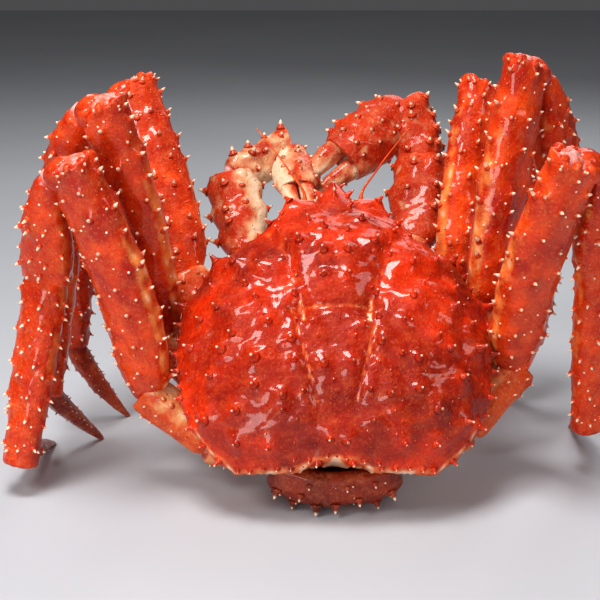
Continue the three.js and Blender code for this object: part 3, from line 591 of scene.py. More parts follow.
segments = {
    # half width and half depth, then each ring: share of the length, length added, shares of the half width and
    # half depth, sideways shift in half widths, and lean
    "ischium": {"half": (12.0, 10.5), "close": {"neck": 0.8, "sink": 5, "cup": 6},
                "rings": [(0, 0, 0.72, 0.74, 0, 0), (0.12, 0, 0.88, 0.9, 0, 0), (0.35, 0, 0.9, 0.93, 0, 0),
                          (0.7, 0, 0.98, 1, 0, 0), (0.9, 0, 1.0, 0.98, 0, 0), (1, 2.2, 1.04, 0.98, 0, 0)]},
    "merus": {"half": (15.5, 11.0), "close": {"neck": 0.62, "sink": 6, "cup": -3.6},
              "rings": [(0, 0, 0.55, 0.6, 0, 0), (0.035, 0, 0.68, 0.74, 0, 0), (0.1, 0, 0.84, 0.86, 0, 0),
                        (0.23, 0, 0.97, 0.97, 0, 0), (0.5, 0, 1.0, 1, 0, 0), (0.77, 0, 0.945, 0.97, 0, 0.02),
                        (0.92, 0, 0.865, 0.93, 0, 0.1), (0.965, 0, 0.875, 0.95, 0, 0.2),
                        (1, 1.2, 0.9, 0.965, 0, 0.3)]},
    "carpus": {"half": (14.0, 10.5), "close": {"neck": 0.75, "sink": 6, "cup": 5, "band": 0.6},
               "rings": [(0, -1, 0.42, 0.6, 0, 0), (0.06, 0, 0.55, 0.76, 0, 0), (0.18, 0, 0.64, 0.84, 0.04, 0),
                         (0.36, 0, 0.78, 0.92, 0.07, 0), (0.62, 0, 0.92, 0.98, 0.03, 0), (0.85, 0, 1.0, 1, 0, 0),
                         (0.95, 0, 0.96, 0.97, 0, 0), (1, 2.4, 1.0, 1.0, 0, -0.08)]},
    "propodus": {"half": (12.0, 9.5), "close": {"neck": 0.8, "sink": 6, "cup": 4},
                 "rings": [(0, 0, 0.7, 0.74, 0, 0), (0.04, 0, 0.9, 0.93, 0, 0), (0.09, 0, 0.98, 1, 0, 0),
                           (0.2, 0, 0.95, 0.97, 0, 0), (0.45, 0, 0.93, 0.95, 0, 0), (0.8, 0, 0.82, 0.87, 0, 0),
                           (0.93, 0, 0.76, 0.8, 0, 0), (1, 1.6, 0.8, 0.83, 0, 0)]},
    "dactyl": {"half": (6.0, 5.6), "bow": -3.0,
               "rings": [(0, 0, 0.82, 0.82, 0, 0), (0.05, 0, 1.02, 1, 0, 0), (0.2, 0, 1, 1, 0, 0),
                         (0.5, 0, 0.82, 0.82, 0, 0), (0.76, 0, 0.56, 0.58, 0, 0), (0.93, 0, 0.3, 0.32, 0, 0),
                         (0.985, 0, 0.14, 0.14, 0, 0)]},
    "clawArm": {"close": {"neck": 0.75, "sink": 5, "cup": 5, "band": 0.85},
                "rings": [(0, 0, 0.66, 0.68, 0, 0), (0.12, 0, 0.82, 0.82, 0, 0), (0.35, 0, 0.93, 0.93, 0, 0),
                          (0.6, 0, 1.0, 1, 0, 0), (0.88, 0, 0.99, 0.98, 0, 0), (1, -0.6, 0.98, 0.96, 0, 0),
                          (1, 1, 0.97, 0.95, 0, 0)]},
    "palm": {"close": {"neck": 0.7, "sink": 5, "cup": 3},
             "rings": [(0, 0, 0.6, 0.7, 0, 0), (0.12, 0, 0.78, 0.88, 0, 0), (0.35, 0, 0.95, 0.99, 0, 0),
                       (0.6, 0, 1.0, 1, 0, 0), (0.9, 0, 0.95, 0.9, 0, 0), (1, 2, 0.88, 0.78, 0, 0)]},
}


def segmentRings(part, length, half=None, bow=0):
    # the segment's rings at its real size, bowed sideways in the middle
    w, d = half or segments[part]["half"]
    return [(share * length + added, across * w, through * d, shift * w - 4 * bow * share * (1 - share), lean)
            for share, added, across, through, shift, lean in segments[part]["rings"]]


def closedSegment(part, length, half=None, bow=0):
    return neckAndCup(segmentRings(part, length, half, bow), **segments[part]["close"])


def dactylRings(length):
    # the last segment runs out to a bent point, with no rim
    w, d = segments["dactyl"]["half"]
    root = [(-6, 0, 0, 0, 0, 1), (-6, 0.5 * w, 0.5 * d, 0, 0, 1), (-2, 0.74 * w, 0.74 * d, 0, 0, 1)]
    body = segmentRings("dactyl", length, bow=segments["dactyl"]["bow"])
    return root + [(*ring, 0) for ring in body] + [(length - 0.1, 0, 0, 0, 0, 0)]


legRows = {
    # angle round from the outer edge by way of the hind face, start, end, count, length, half width
    "coxa": [(0, 0.6, 0.95, 1, 3, 1.3), (60, 0.6, 0.95, 1, 2.6, 1.1), (110, 0.5, 0.95, 2, 2.4, 1.0),
             (180, 0.5, 0.95, 2, 2.2, 1.0)],
    "ischium": [(70, 0.55, 0.95, 2, 3.2, 1.3), (110, 0.55, 0.95, 2, 3.2, 1.3), (150, 0.5, 0.95, 3, 3.6, 1.4),
                (30, 0.6, 0.95, 2, 2.6, 1.1), (270, 0.5, 0.95, 3, 2.6, 1.1), (100, 0.2, 0.5, 3, 1.4, 0.8)],
    "merus": [(180, 0.06, 0.99, 8, 5.4, 1.8), (2, 0.08, 0.8, 6, 5.0, 1.8), (68, 0.05, 0.97, 7, 4.0, 1.75),
              (112, 0.08, 0.99, 7, 4.0, 1.75), (36, 0.1, 0.93, 3, 3.4, 1.5), (148, 0.1, 0.93, 4, 3.2, 1.5),
              (215, 0.05, 0.95, 4, 3.4, 1.5), (250, 0.08, 0.95, 6, 3.8, 1.7), (295, 0.1, 0.95, 6, 3.6, 1.6),
              (325, 0.1, 0.95, 3, 3.2, 1.5), (100, 0.97, 0.995, 2, 3.0, 1.3), (150, 0.97, 0.995, 2, 3.2, 1.3),
              (180, 0.97, 0.995, 1, 3.6, 1.4), (78, 0.02, 0.98, 7, 1.1, 0.85), (98, 0.02, 0.98, 7, 1.1, 0.85),
              (130, 0.02, 0.98, 7, 1.0, 0.8), (165, 0.02, 0.98, 6, 1.0, 0.8), (40, 0.02, 0.98, 6, 1.0, 0.8),
              (230, 0.02, 0.98, 6, 1.0, 0.8), (275, 0.02, 0.98, 6, 1.1, 0.8), (310, 0.02, 0.98, 6, 1.0, 0.8)],
    "carpus": [(0, 0.12, 0.99, 5, 5.4, 2.0), (38, 0.2, 0.98, 4, 4.2, 1.8), (75, 0.2, 0.99, 4, 4.2, 1.8),
               (112, 0.3, 0.99, 4, 4.2, 1.8), (155, 0.35, 0.98, 3, 3.8, 1.7), (250, 0.3, 0.98, 4, 3.8, 1.7),
               (305, 0.25, 0.98, 4, 3.8, 1.7), (95, 0.1, 0.95, 5, 1.1, 0.85), (55, 0.1, 0.95, 4, 1.1, 0.85),
               (20, 0.1, 0.95, 4, 1.0, 0.8), (130, 0.1, 0.95, 4, 1.0, 0.8)],
    "propodus": [(0, 0.04, 0.98, 9, 5.0, 1.8), (36, 0.06, 0.97, 6, 4.0, 1.7), (74, 0.05, 0.98, 7, 4.0, 1.7),
                 (112, 0.07, 0.97, 6, 3.8, 1.65), (148, 0.08, 0.95, 5, 3.4, 1.5), (182, 0.05, 0.97, 7, 4.2, 1.6),
                 (225, 0.08, 0.95, 5, 3.4, 1.5), (275, 0.08, 0.95, 6, 3.4, 1.5), (320, 0.08, 0.95, 6, 3.4, 1.5),
                 (92, 0.02, 0.98, 7, 1.0, 0.8), (54, 0.02, 0.98, 7, 1.0, 0.8), (15, 0.02, 0.98, 6, 1.0, 0.8),
                 (130, 0.02, 0.98, 6, 1.0, 0.8)],
    "dactyl": [(0, 0.08, 0.7, 6, 1.9, 0.6), (60, 0.08, 0.6, 5, 1.4, 0.5), (120, 0.08, 0.6, 5, 1.4, 0.5),
               (180, 0.06, 0.75, 9, 2.2, 0.6), (240, 0.08, 0.6, 5, 1.4, 0.5), (300, 0.08, 0.6, 5, 1.4, 0.5)],
}


def innerEdge(amount, low=0.72, length=120):
    # the edge that faces the body is rubbed pale, most of all near its root
    def pale(down, turn, place):
        edge = smoothStep(low, 0.98, -np.cos(turn)) * (1 - 0.7 * smoothStep(0.4 * length, 1.0 * length, place[:, 2]))
        return amount * edge * (0.85 + 0.45 * waves(place, 11, 5))
    return pale


def mottledEnd(down, turn, place):
    return 0.2 + 0.15 * waves(place, 18, 9)


knee = {
    # the folded segment's head: half sizes through, across and over the joint, and its centre out and back
    # from the knee
    "head": (7.6, 6.2, 10.2), "out": 8.6, "back": 1.4,
    # crumpled lobes on the rim and the joint skin: way round, half width, and how far in from the rim
    "lobes": [(75, 3.0, 0.96), (118, 3.6, 0.96), (158, 3.0, 0.97), (206, 3.6, 0.96), (246, 3.2, 0.95),
              (286, 3.0, 0.95), (100, 3.4, 0.55), (165, 3.8, 0.5), (230, 3.4, 0.55), (300, 3.0, 0.5), (40, 3.0, 0.5)],
    "lobeRing": (12.4, 9.4),
    # the knobs of the hinge at each flat side: half sizes, and their places out, to the side and back
    "knob": (4.6, 2.6, 5.2), "knobAt": (0.42 * 13.6, 0.84 * 10.4, 3.4),
}


def knob(bm, centre, size, turn, marked, around=28, rings=20):
    # a smooth moulded knob with one shallow groove over it
    ball, down, angle = ballRings(bm, around, rings)
    raw = np.array([v.co for v in ball])
    groove = 1 - 0.07 * np.exp(-((raw[:, 0] - 0.2) / 0.16) ** 2)
    place = raw * np.array(size) * groove[:, None]
    place = place @ np.array(turn.to_3x3().transposed()) + np.array(centre)
    setBall(bm, ball, place, {name: np.full(len(place), value) for name, value in marked.items()})


def addKnee(bm, length):
    # lobes and hinge knobs round the merus's far rim
    wideRing, deepRing = knee["lobeRing"]
    for degrees, wide, inward in knee["lobes"]:
        turned = math.radians(degrees)
        x, y = wideRing * inward * math.cos(turned), deepRing * inward * math.sin(turned)
        knob(bm, (x, y, length + 1.2 + 1.6 * (1 - inward) - 0.3 * x), (wide, 0.8 * wide, 0.9 * wide),
             Matrix.Rotation(turned, 3, "Z"), {"deep": 0.3, "pale": 0.25, "soft": 0.6 * (inward < 0.9)}, 16, 12)
    out, away, back = knee["knobAt"]
    for flat in (-1, 1):
        knob(bm, (out, flat * away, length - back), knee["knob"], Matrix.Identity(3), {"deep": 0.8}, 22, 16)


def makeLeg(name, leg, number):
    side = leg["side"]
    size = crab["limbLengths"][name.split("_")[1]]
    hipX, hipY, hipZ = leg["hip"]
    hip = bodyPoint(side, leg["hip"])
    root = bodyPoint(side, (hipX - 27, hipY, hipZ - 9))
    ischium, merus, carpus, propodus, dactyl = (heading(side, leg[part]) for part in size)
    bend = merus.angle(carpus)
    out = (carpus - merus * math.cos(bend)).normalized()
    through = merus.cross(out)
    merusRoot = hip + ischium * size["ischium"]
    kneeSpot = merusRoot + merus * size["merus"]
    carpusRoot = kneeSpot + out * crab["kneeOut"] - merus * crab["kneeBack"]
    propodusRoot = carpusRoot + carpus * size["carpus"]
    dactylRoot = propodusRoot + propodus * size["propodus"]
    seed = 100 * number

    bm = newShape()
    coxaLine = hip - root
    long = coxaLine.length
    limb(bm, neckAndCup([(0, 9.5, 8.5, 0, 0), (0.4 * long, 12, 11, 0, 0), (0.75 * long, 12.4, 11.2, 0, 0),
                         (long + 1.5, 11.2, 10.4, 0, 0)], neck=0.8, sink=4, cup=4),
         40, 36, side, legRows["coxa"], innerEdge(0.6, 0.0), seed + 1)
    finishPiece("coxa_" + name, bm, frameAlong(root, coxaLine, ischium), shells["legBase"])

    bm = newShape()
    limb(bm, closedSegment("ischium", size["ischium"]), 48, 52, -side, legRows["ischium"], innerEdge(0.8, 0.2),
         seed + 2)
    finishPiece("ischium_" + name, bm, frameAlong(hip, ischium, out), shells["legBase"])

    bm = newShape()
    limb(bm, closedSegment("merus", size["merus"], bow=leg["bow"]), 72, 128, -side, legRows["merus"],
         innerEdge(0.8, 0.84, size["merus"]), seed + 3, rimWave=1.5)
    addKnee(bm, size["merus"])
    finishPiece("merus_" + name, bm, frameAlong(merusRoot, merus, out), shells["legShell"])

    bm = newShape()
    carpusFrame = frameAlong(carpusRoot, carpus, carpus.cross(through))
    centre = carpusFrame.inverted() @ (kneeSpot + out * knee["out"] - merus * knee["back"])
    over = (out * 0.86 - merus * 0.5).normalized()
    headTurn = carpusFrame.inverted() @ frameAlong(Vector((0, 0, 0)), over, through)
    knob(bm, centre, knee["head"], headTurn, {"deep": 0.5})
    limb(bm, closedSegment("carpus", size["carpus"]), 60, 72, side, legRows["carpus"], innerEdge(0.5, 0.5), seed + 4,
         rimWave=1.0)
    finishPiece("carpus_" + name, bm, carpusFrame, shells["legShell"])

    bm = newShape()
    limb(bm, closedSegment("propodus", size["propodus"]), 60, 96, side, legRows["propodus"],
         innerEdge(0.5, 0.8, size["propodus"]), seed + 5)
    finishPiece("propodus_" + name, bm, frameAlong(propodusRoot, propodus, propodus.cross(through)),
                shells["legShell"])

    bm = newShape()
    limb(bm, dactylRings(size["dactyl"]), 36, 80, side, legRows["dactyl"], mottledEnd, seed + 6, uneven=(0.12, 14))
    finishPiece("dactyl_" + name, bm, frameAlong(dactylRoot, dactyl, dactyl.cross(through)), shells["legTip"])


for number, (name, leg) in enumerate(legs.items()):
    makeLeg(name, leg, number + 1)
print("legs made")


# claws

clawRows = {
    "merus": [(0, 0.06, 1.0, 3, 8.6, 3.5), (58, 0.15, 0.98, 3, 6.2, 3.0), (100, 0.25, 0.95, 2, 5.2, 2.8),
              (180, 0.3, 1.0, 2, 6.6, 2.8), (250, 0.3, 0.95, 2, 4.6, 2.4), (302, 0.15, 0.98, 3, 5.8, 2.8),
              (85, 0.1, 0.95, 4, 1.2, 1.0), (140, 0.1, 0.95, 4, 1.2, 1.0)],
    "carpus": [(0, 0.02, 1.02, 4, 7.6, 3.2), (44, 0.1, 0.98, 3, 5.6, 2.8), (88, 0.1, 0.95, 3, 4.6, 2.4),
               (316, 0.1, 0.98, 3, 5.6, 2.8), (272, 0.15, 0.95, 3, 4.6, 2.4), (65, 0.05, 0.95, 4, 1.2, 1.0),
               (110, 0.05, 0.95, 4, 1.1, 1.0)],
    "coxa": [(0, 0.6, 0.95, 1, 3, 1.3), (110, 0.5, 0.95, 2, 2.4, 1.0)],
    "thumb": [(180, 0.5, 0.9, 3, 1.6, 0.9), (90, 0.5, 0.85, 3, 1.4, 0.8)],
    "finger": [(0, 0.2, 0.8, 3, 2.0, 1.0), (60, 0.2, 0.75, 3, 1.6, 0.8), (300, 0.2, 0.75, 3, 1.6, 0.8)],
    "palm": [(0, 0.0, 0.98, 5, 6.2, 2.8), (38, 0.06, 0.95, 4, 4.6, 2.4), (76, 0.08, 0.95, 4, 3.6, 2.1),
             (112, 0.1, 0.95, 4, 3, 1.8), (322, 0.06, 0.95, 4, 4.6, 2.4), (284, 0.08, 0.95, 4, 3.6, 2.1),
             (248, 0.1, 0.95, 4, 3, 1.8), (180, 0.1, 0.9, 4, 3, 1.8), (56, 0.05, 0.95, 5, 1.1, 0.9),
             (94, 0.05, 0.95, 5, 1.1, 0.9)],
}


def fingerRings(start, reach, w, d, hook, shift):
    # a finger from its root to a blunt spooned tip, bending toward the other finger
    return [(start - 5, 0, 0, shift, 0, 0), (start - 4, 0.6 * w, 0.6 * d, shift, 0, 0),
            (start, 0.95 * w, 0.95 * d, shift, 0, 0), (start + 0.25 * reach, w, d, shift, 0, 0),
            (start + 0.6 * reach, 0.78 * w, 0.74 * d, shift + 0.35 * hook, 0, 0),
            (start + 0.88 * reach, 0.46 * w, 0.46 * d, shift + 0.8 * hook, 0, 0),
            (start + 0.98 * reach, 0.26 * w, 0.3 * d, shift + hook, 0, 0), (start + reach, 0, 0, shift + hook, 0, 0)]


def clawPale(base, amount):
    # the side that faces the mouth is cream, the outside stays orange in patches
    def pale(down, turn, place):
        facing = base + amount * smoothStep(-0.2, 0.8, -np.cos(turn))
        return facing + 0.22 * waves(place, 20, 31) + 0.2 * waves(place, 9, 32)
    return pale


def makeClaw(name, claw, number):
    side, reach = claw["side"], claw["reach"]
    crests = [Vector(c) for c in claw["crest"]]
    hipX, hipY, hipZ = claw["hip"]
    hip = bodyPoint(side, claw["hip"])
    root = bodyPoint(side, (hipX - 15, hipY - 16, hipZ - 3))
    ischium, merus, carpus, palm = (heading(side, claw[part]) for part in ("ischium", "merus", "carpus", "palm"))
    merusRoot = hip + ischium * reach["ischium"]
    wrist = merusRoot + merus * reach["merus"]
    palmRoot = wrist + carpus * reach["carpus"]
    w, d = claw["palmWidth"] / 2, claw["palmDepth"] / 2
    seed = 1000 * number
    cream, inside = claw["pale"], claw["cream"]

    bm = newShape()
    coxaLine = hip - root
    long = coxaLine.length
    limb(bm, neckAndCup([(0, 8.4, 7.4, 0, 0), (0.5 * long, 10.4, 9.4, 0, 0), (long + 1.5, 9.3, 8.4, 0, 0)],
                        neck=0.8, sink=3, cup=3),
         36, 32, side, clawRows["coxa"], clawPale(0.2, 0.5), seed + 1)
    finishPiece("coxa_" + name, bm, frameAlong(root, coxaLine, crests[0]), shells["legBase"])

    bm = newShape()
    limb(bm, closedSegment("ischium", reach["ischium"], claw["ischiumHalf"]), 44, 48, side, legRows["ischium"],
         clawPale(0.35, 0.5), seed + 2)
    finishPiece("ischium_" + name, bm, frameAlong(hip, ischium, crests[0]), shells["legBase"])

    for part, start, way, crest, width, paler in (("merus", merusRoot, merus, crests[0], claw["armWidth"], -0.25),
                                                  ("carpus", wrist, carpus, crests[1], claw["wristWidth"], 0.1)):
        bm = newShape()
        limb(bm, closedSegment("clawArm", reach[part], (0.5 * width, 0.41 * width)), 72, 84, side, clawRows[part],
             clawPale(cream + paler, inside), seed + len(part), stretch=1.3, mound=0.6, uneven=(0.6, 22), rimWave=1.4)
        for flat in (-1, 1):
            knob(bm, (-0.16 * width, flat * 0.34 * width, reach[part] - 3.2), (4.4, 3.0, 4.8), Matrix.Identity(3),
                 {"pale": cream + 0.4}, 22, 16)
        finishPiece(f"{part}_{name}", bm, frameAlong(start, way, crest), shells["clawShell"])

    palmFrame = frameAlong(palmRoot, palm, crests[2])
    bm = newShape()
    limb(bm, closedSegment("palm", reach["palm"], (w, d)), 76, 88, side, clawRows["palm"],
         clawPale(cream + 0.05, 0.8 * inside), seed + 8, stretch=1.3, mound=0.55, uneven=(0.5, 18))
    thumb = fingerRings(0.72 * reach["palm"], reach["finger"] + 0.26 * reach["palm"], 0.4 * w, 0.56 * d, 0.22 * w,
                        -0.42 * w)
    limb(bm, thumb, 36, 44, side, clawRows["thumb"], clawPale(0.45, 0.5), seed + 9, stretch=1.2, uneven=(0.2, 12))
    finishPiece("palm_" + name, bm, palmFrame, shells["clawShell"])

    bm = newShape()
    fingerRoot = palmFrame @ Vector((0.46 * w, 0, reach["palm"]))
    limb(bm, fingerRings(-1, reach["finger"] + 1, 0.4 * w, 0.58 * d, -0.2 * w, 0), 36, 44, side, clawRows["finger"],
         clawPale(0.45, 0.5), seed + 10, stretch=1.2, uneven=(0.2, 12))
    finishPiece("finger_" + name, bm, frameAlong(fingerRoot, palm, crests[2]), shells["clawShell"])


for number, (name, claw) in enumerate(claws.items()):
    makeClaw(name, claw, number + 1)
print("claws made")


# the shell over the back

backShell = {
    "length": 158, "halfWidth": 84, "height": 36, "flank": 9, "frontLift": 19, "rearEdge": 7.5,
    "notch": 4.4,   # how far the rear edge is cut in over the tail
    # half width down the length, and the height of the middle line, as shares
    "outline": [[0, 0.55], [6, 0.61], [11, 0.67], [16, 0.75], [26, 0.85], [37, 0.925], [48, 0.97], [60, 0.99],
                [74, 1], [85, 0.99], [98, 0.95], [107, 0.89], [115, 0.82], [120, 0.76], [125, 0.685], [131, 0.56],
                [138, 0.445], [144, 0.375], [151, 0.325], [154.5, 0.29], [157, 0.2], [158, 0.1]],
    "profile": [[7, 0.02], [8, 0.12], [10, 0.24], [16, 0.48], [28, 0.74], [50, 0.9], [80, 0.97], [112, 1],
                [131, 0.88], [146, 0.68], [155, 0.55], [158, 0.46]],
    "under": [[7, 0], [12, 0.5], [19, 1], [112, 1], [158, 0.6]],
    # grooves: bent line on one side, depth, width, and how pale it is
    "grooves": [([(0, 87.5), (17, 87.5)], 1.9, 3.2, 0.5),
                ([(17, 86), (23, 104), (30, 124), (38, 138)], 3.4, 5.5, 0.3),
                ([(23, 86), (16, 60), (10, 38)], 1.5, 2.0, 0.62), ([(24, 97), (44, 104), (62, 110)], 1.8, 6.5, 0.25),
                ([(9, 34), (11, 8)], 0.9, 3.5, 0), ([(17, 80), (18.5, 91)], 1.4, 2.6, 1.0)],
    # raised regions: centre, half size, height
    "regions": [((0, 118), (25, 34), 4.2), ((0, 64), (17, 22), 2.4), ((47, 60), (30, 38), 3.6),
                ((52, 88), (20, 18), 2.6), ((26, 128), (14, 16), 1.6), ((0, 14), (14, 12), 1.8),
                ((30, 24), (18, 14), 1.2)],
    # spines in pairs: x, y, length, half width
    "spines": [(6, 130, 4.6, 2), (7, 117, 4.4, 2), (6.5, 103, 3.6, 1.7), (19, 123, 5, 2.1), (21, 94, 3.8, 1.8),
               (14, 138, 4, 1.7), (30, 134, 3.6, 1.6), (28, 117, 3, 1.5), (7, 56, 4, 1.7), (4.5, 20, 3.4, 1.6),
               (9, 11, 3.4, 1.6), (22, 80, 3.4, 1.6), (22, 68, 3.2, 1.5), (22, 58, 3, 1.4), (41, 60, 4, 1.8),
               (57, 66, 4, 1.8), (60, 89, 4.6, 2), (52, 73, 3.2, 1.5), (74, 70, 4.2, 1.8), (41, 45, 3.8, 1.7),
               (27, 41, 3.2, 1.5), (18, 43, 2.8, 1.3), (19, 29, 3, 1.4), (28, 33, 3, 1.4), (50, 35, 3.8, 1.7),
               (66, 32, 4.4, 1.9), (40, 92, 4, 1.8), (46, 101, 3.4, 1.6), (63, 103, 3.8, 1.8), (70, 84, 3.6, 1.6),
               (35, 79, 3, 1.4), (33, 62, 2.8, 1.4), (65, 52, 3.4, 1.5), (36, 18, 3, 1.4), (50, 20, 3.2, 1.5),
               (13, 78, 2.4, 1.2), (9, 70, 2.2, 1.2), (40, 113, 3.2, 1.6), (52, 117, 3.6, 1.7), (22, 12, 2.8, 1.3)],
    "spineScale": (1.4, 1.25),   # longer and wider than listed
    "rearBosses": 1.25,          # the big ones behind the middle are larger still
    # edge spines: y, length, half width, rise for two steps out
    "edgeSpines": [(154, 6.4, 2.4, 0.3), (147, 3.8, 1.7, 0.5), (140, 6, 2.4, 0.5), (134, 3.4, 1.5, 0.6),
                   (129.5, 5.6, 2.3, 0.6), (120, 8.4, 3.3, 0.7), (113, 5.4, 2.2, 0.9), (107, 4, 1.8, 1),
                   (97, 8.8, 3.3, 1), (87, 6.4, 2.5, 1.1), (79, 4.4, 1.9, 1.1), (71, 6.2, 2.4, 1.1),
                   (62, 6, 2.3, 1.1), (54, 4.4, 1.8, 1.1), (47, 6, 2.3, 1.1), (39, 4.6, 1.8, 1.1), (32, 6, 2.3, 1),
                   (23, 4.8, 1.9, 0.9), (15, 6, 2.3, 0.8)],
    # rear spines: x, length, half width
    "rearSpines": [(5, 3, 1.4), (14, 4.4, 1.9), (23, 5, 2.1), (30, 4.6, 2), (37, 3.6, 1.7), (44, 5, 2.1),
                   (50, 4.6, 2)],
    "grains": 150, "mound": 0.5,
    "rough": [(0.5, 22, 3), (0.3, 9, 4), (0.16, 4.6, 6)],   # unevenness: height, size and seed
}


def shellHalf(y):
    return backShell["halfWidth"] * along(backShell["outline"], y)


def shellRim(y):
    return backShell["frontLift"] * smoothStep(100, 150, y)


def shellTop(x, y):
    # the height of the back over the shell's own plane
    wide = np.abs(x)
    out = np.clip(wide / shellHalf(y), 0, 1)
    rim = shellRim(y)
    dome = rim + (backShell["height"] * along(backShell["profile"], y) - rim) * (1 - out ** 2.6) ** 0.6
    inside = (1 - out ** 6) * smoothStep(8, 17, y)
    for centre, size, height in backShell["regions"]:
        dome = dome + height * inside * hump(wide, y, centre, size)
    for line, depth, width, _ in backShell["grooves"]:
        dome = dome - depth * inside * np.exp(-(lineDistance(wide, y, line) / width) ** 2)
    return dome


def shellUnder(x, y):
    edge = np.minimum(1, 8 * (1 - (x / shellHalf(y)) ** 2))
    low = shellRim(y) - backShell["flank"] * along(backShell["under"], y)
    return shellRim(y) + (low - shellRim(y)) * edge


# front and rear edge of the shell at each distance from the middle, read off the outline
edgeY = np.linspace(0, backShell["length"], 800)
edgeX = shellHalf(edgeY)
widest = int(np.argmax(edgeX))


def shellEnds(x):
    wide = np.abs(x)
    rear = np.where(wide < edgeX[0], 0, np.interp(wide, edgeX[:widest + 1], edgeY[:widest + 1]))
    front = np.interp(wide, edgeX[widest:][::-1], edgeY[widest:][::-1])
    scallops = 0.35 * np.cos(wide * math.tau / 13) * smoothStep(50, 30, wide)
    notch = backShell["notch"] * (1 - smoothStep(3, 26, wide)) + scallops
    return np.maximum(rear, backShell["rearEdge"]) + np.maximum(0, notch), front


backShare = 0.74   # of the way round each ring, the part that lies on the back


def layShell(down, turn):
    x = -backShell["halfWidth"] * np.cos(math.pi * down) * 0.9995
    share = (turn / math.tau + 1.0) % 1.0
    rear, front = shellEnds(x)
    onBack = share < backShare
    q = np.where(onBack, share / backShare, 1 - (share - backShare) / (1 - backShare))
    q = 0.35 * q + 0.65 * (1 - np.cos(math.pi * q)) / 2
    y = rear + (front - rear) * q
    return np.column_stack([x, y, np.where(onBack, shellTop(x, y), shellUnder(x, y))])


def shellSpines(place, out, back):
    # the listed spines in pairs, then the small grains; gives all of them and how many are listed
    sites = []

    def nearest(x, y):
        return int(np.argmin((place[:, 0] - x) ** 2 + (place[:, 1] - y) ** 2 + 1e5 * ~back))

    def addSite(index, way, length, width):
        way = np.array(way, float)
        sites.append((index, way / np.linalg.norm(way), length, width))

    longer, wider = backShell["spineScale"]
    for x, y, length, width in backShell["spines"]:
        for side in (-1, 1):
            k = chance.uniform(0.85, 1.15)
            index = nearest(side * (x + chance.uniform(-1, 1)), y + chance.uniform(-1, 1))
            k *= backShell["rearBosses"] if y < 76 and length > 3.1 else 1
            addSite(index, out[index] + np.array([0.1 * side, 0.14, 0]), length * k * longer, width * k * wider)
    for y, length, width, lift in backShell["edgeSpines"]:
        half, behind, ahead = (float(shellHalf(np.array([spot]))[0]) for spot in (y, y - 1.0, y + 1.0))
        for side in (-1, 1):
            addSite(nearest(side * (half - 1.6), y), (side * 2, behind - ahead, lift), length, width)
    for x, length, width in backShell["rearSpines"]:
        rear = float(shellEnds(np.array([float(x)]))[0][0])
        for side in (-1, 1):
            addSite(nearest(side * x, rear + 2.2), (0.15 * side, -1, 0.7), length, width)

    listed = len(sites)
    tries = 0
    while len(sites) < listed + backShell["grains"] and tries < 9000:
        tries += 1
        y = chance.uniform(6, 155)
        index = nearest(chance.uniform(-1, 1) * (float(shellHalf(np.array([y]))[0]) - 2), y)
        if min(np.linalg.norm(place[index] - place[other[0]]) / (2 + other[3]) for other in sites) > 0.95:
            length = chance.uniform(0.5, 1.7)
            addSite(index, out[index] + np.array([0, 0.1, 0]), length, 0.5 + 0.35 * length)
    return sites, listed


def shellMarks(place, back, bosses):
    # pale seams and rear rim, a deeper red over the middle, and painted light: the red is lifted round each boss as
    # if its mound caught the light
    wide, y = np.abs(place[:, 0]), place[:, 1]
    pale = np.zeros(len(place))
    broken = 0.8 + 0.4 * waves(place, 3.6, 9)
    for line, depth, width, paleness in backShell["grooves"]:
        seam = np.exp(-(lineDistance(wide, y, line) / (0.6 * width)) ** 2)
        pale = np.maximum(pale, 1.2 * paleness * broken * seam)
    spined = np.zeros(len(place))
    for index, way, length, width in bosses:
        spined = np.maximum(spined, np.exp(-((place - place[index]) ** 2).sum(axis=1) / (2.4 * width + 1) ** 2))
    rim = np.exp(-((y - shellEnds(place[:, 0])[0]) / 1.6) ** 2) * (y < 30) * (1 - 0.6 * spined)
    pale = np.maximum(np.where(back, pale, 0.85 * smoothStep(26, 40, y)), 1.3 * rim)
    centre = smoothStep(1.25, 0.35, np.hypot(wide / 78, (y - 52) / 62))
    # painted highlight: the deeper red is taken off round each boss
    deep = np.clip(1.5 * centre + 0.3 * waves(place, 40, 8) - 0.9 * spined, 0, 1)
    return {"pale": pale, "deep": np.where(back, deep, 0.8)}


def makeShell():
    bm = newShape()
    ball, down, turn = ballRings(bm, 220, 170)
    place = layShell(down, turn)
    out = outward(layShell, down, turn)
    share = (turn / math.tau + 1.0) % 1.0
    back = (share > 0.01) & (share < backShare - 0.01)
    rough = sum(height * waves(place, size, seed) for height, size, seed in backShell["rough"])
    place = place + out * rough[:, None]
    sites, listed = shellSpines(place, out, back)
    place, _ = moundsUnder(place, sites[:listed], 1.0, backShell["mound"])
    setBall(bm, ball, place, shellMarks(place, back, sites[:listed]))
    addSpines(bm, drawnSpines(place, sites, backShell["mound"], 0.2))
    addBeak(bm)
    finishPiece("carapace", bm, bodyMatrix, shells["backShell"])


beak = {
    "root": (0, 138, 20), "tip": (0, 172.6, 13), "halfWidth": 15, "halfDepth": 9,
    # shares of its length, half width and half depth
    "shares": [(0, 1, 1), (0.3, 0.92, 0.94), (0.55, 0.68, 0.76), (0.74, 0.42, 0.54), (0.9, 0.18, 0.26),
               (0.98, 0.07, 0.1)],
    # how far along it, way round it in degrees, and length of each spine
    "spines": [(0.34, 50, 5), (0.34, 130, 5), (0.5, 90, 6.4), (0.6, 35, 5.6), (0.6, 145, 5.6), (0.72, 90, 5),
               (0.82, 30, 3.6), (0.82, 150, 3.6)],
}


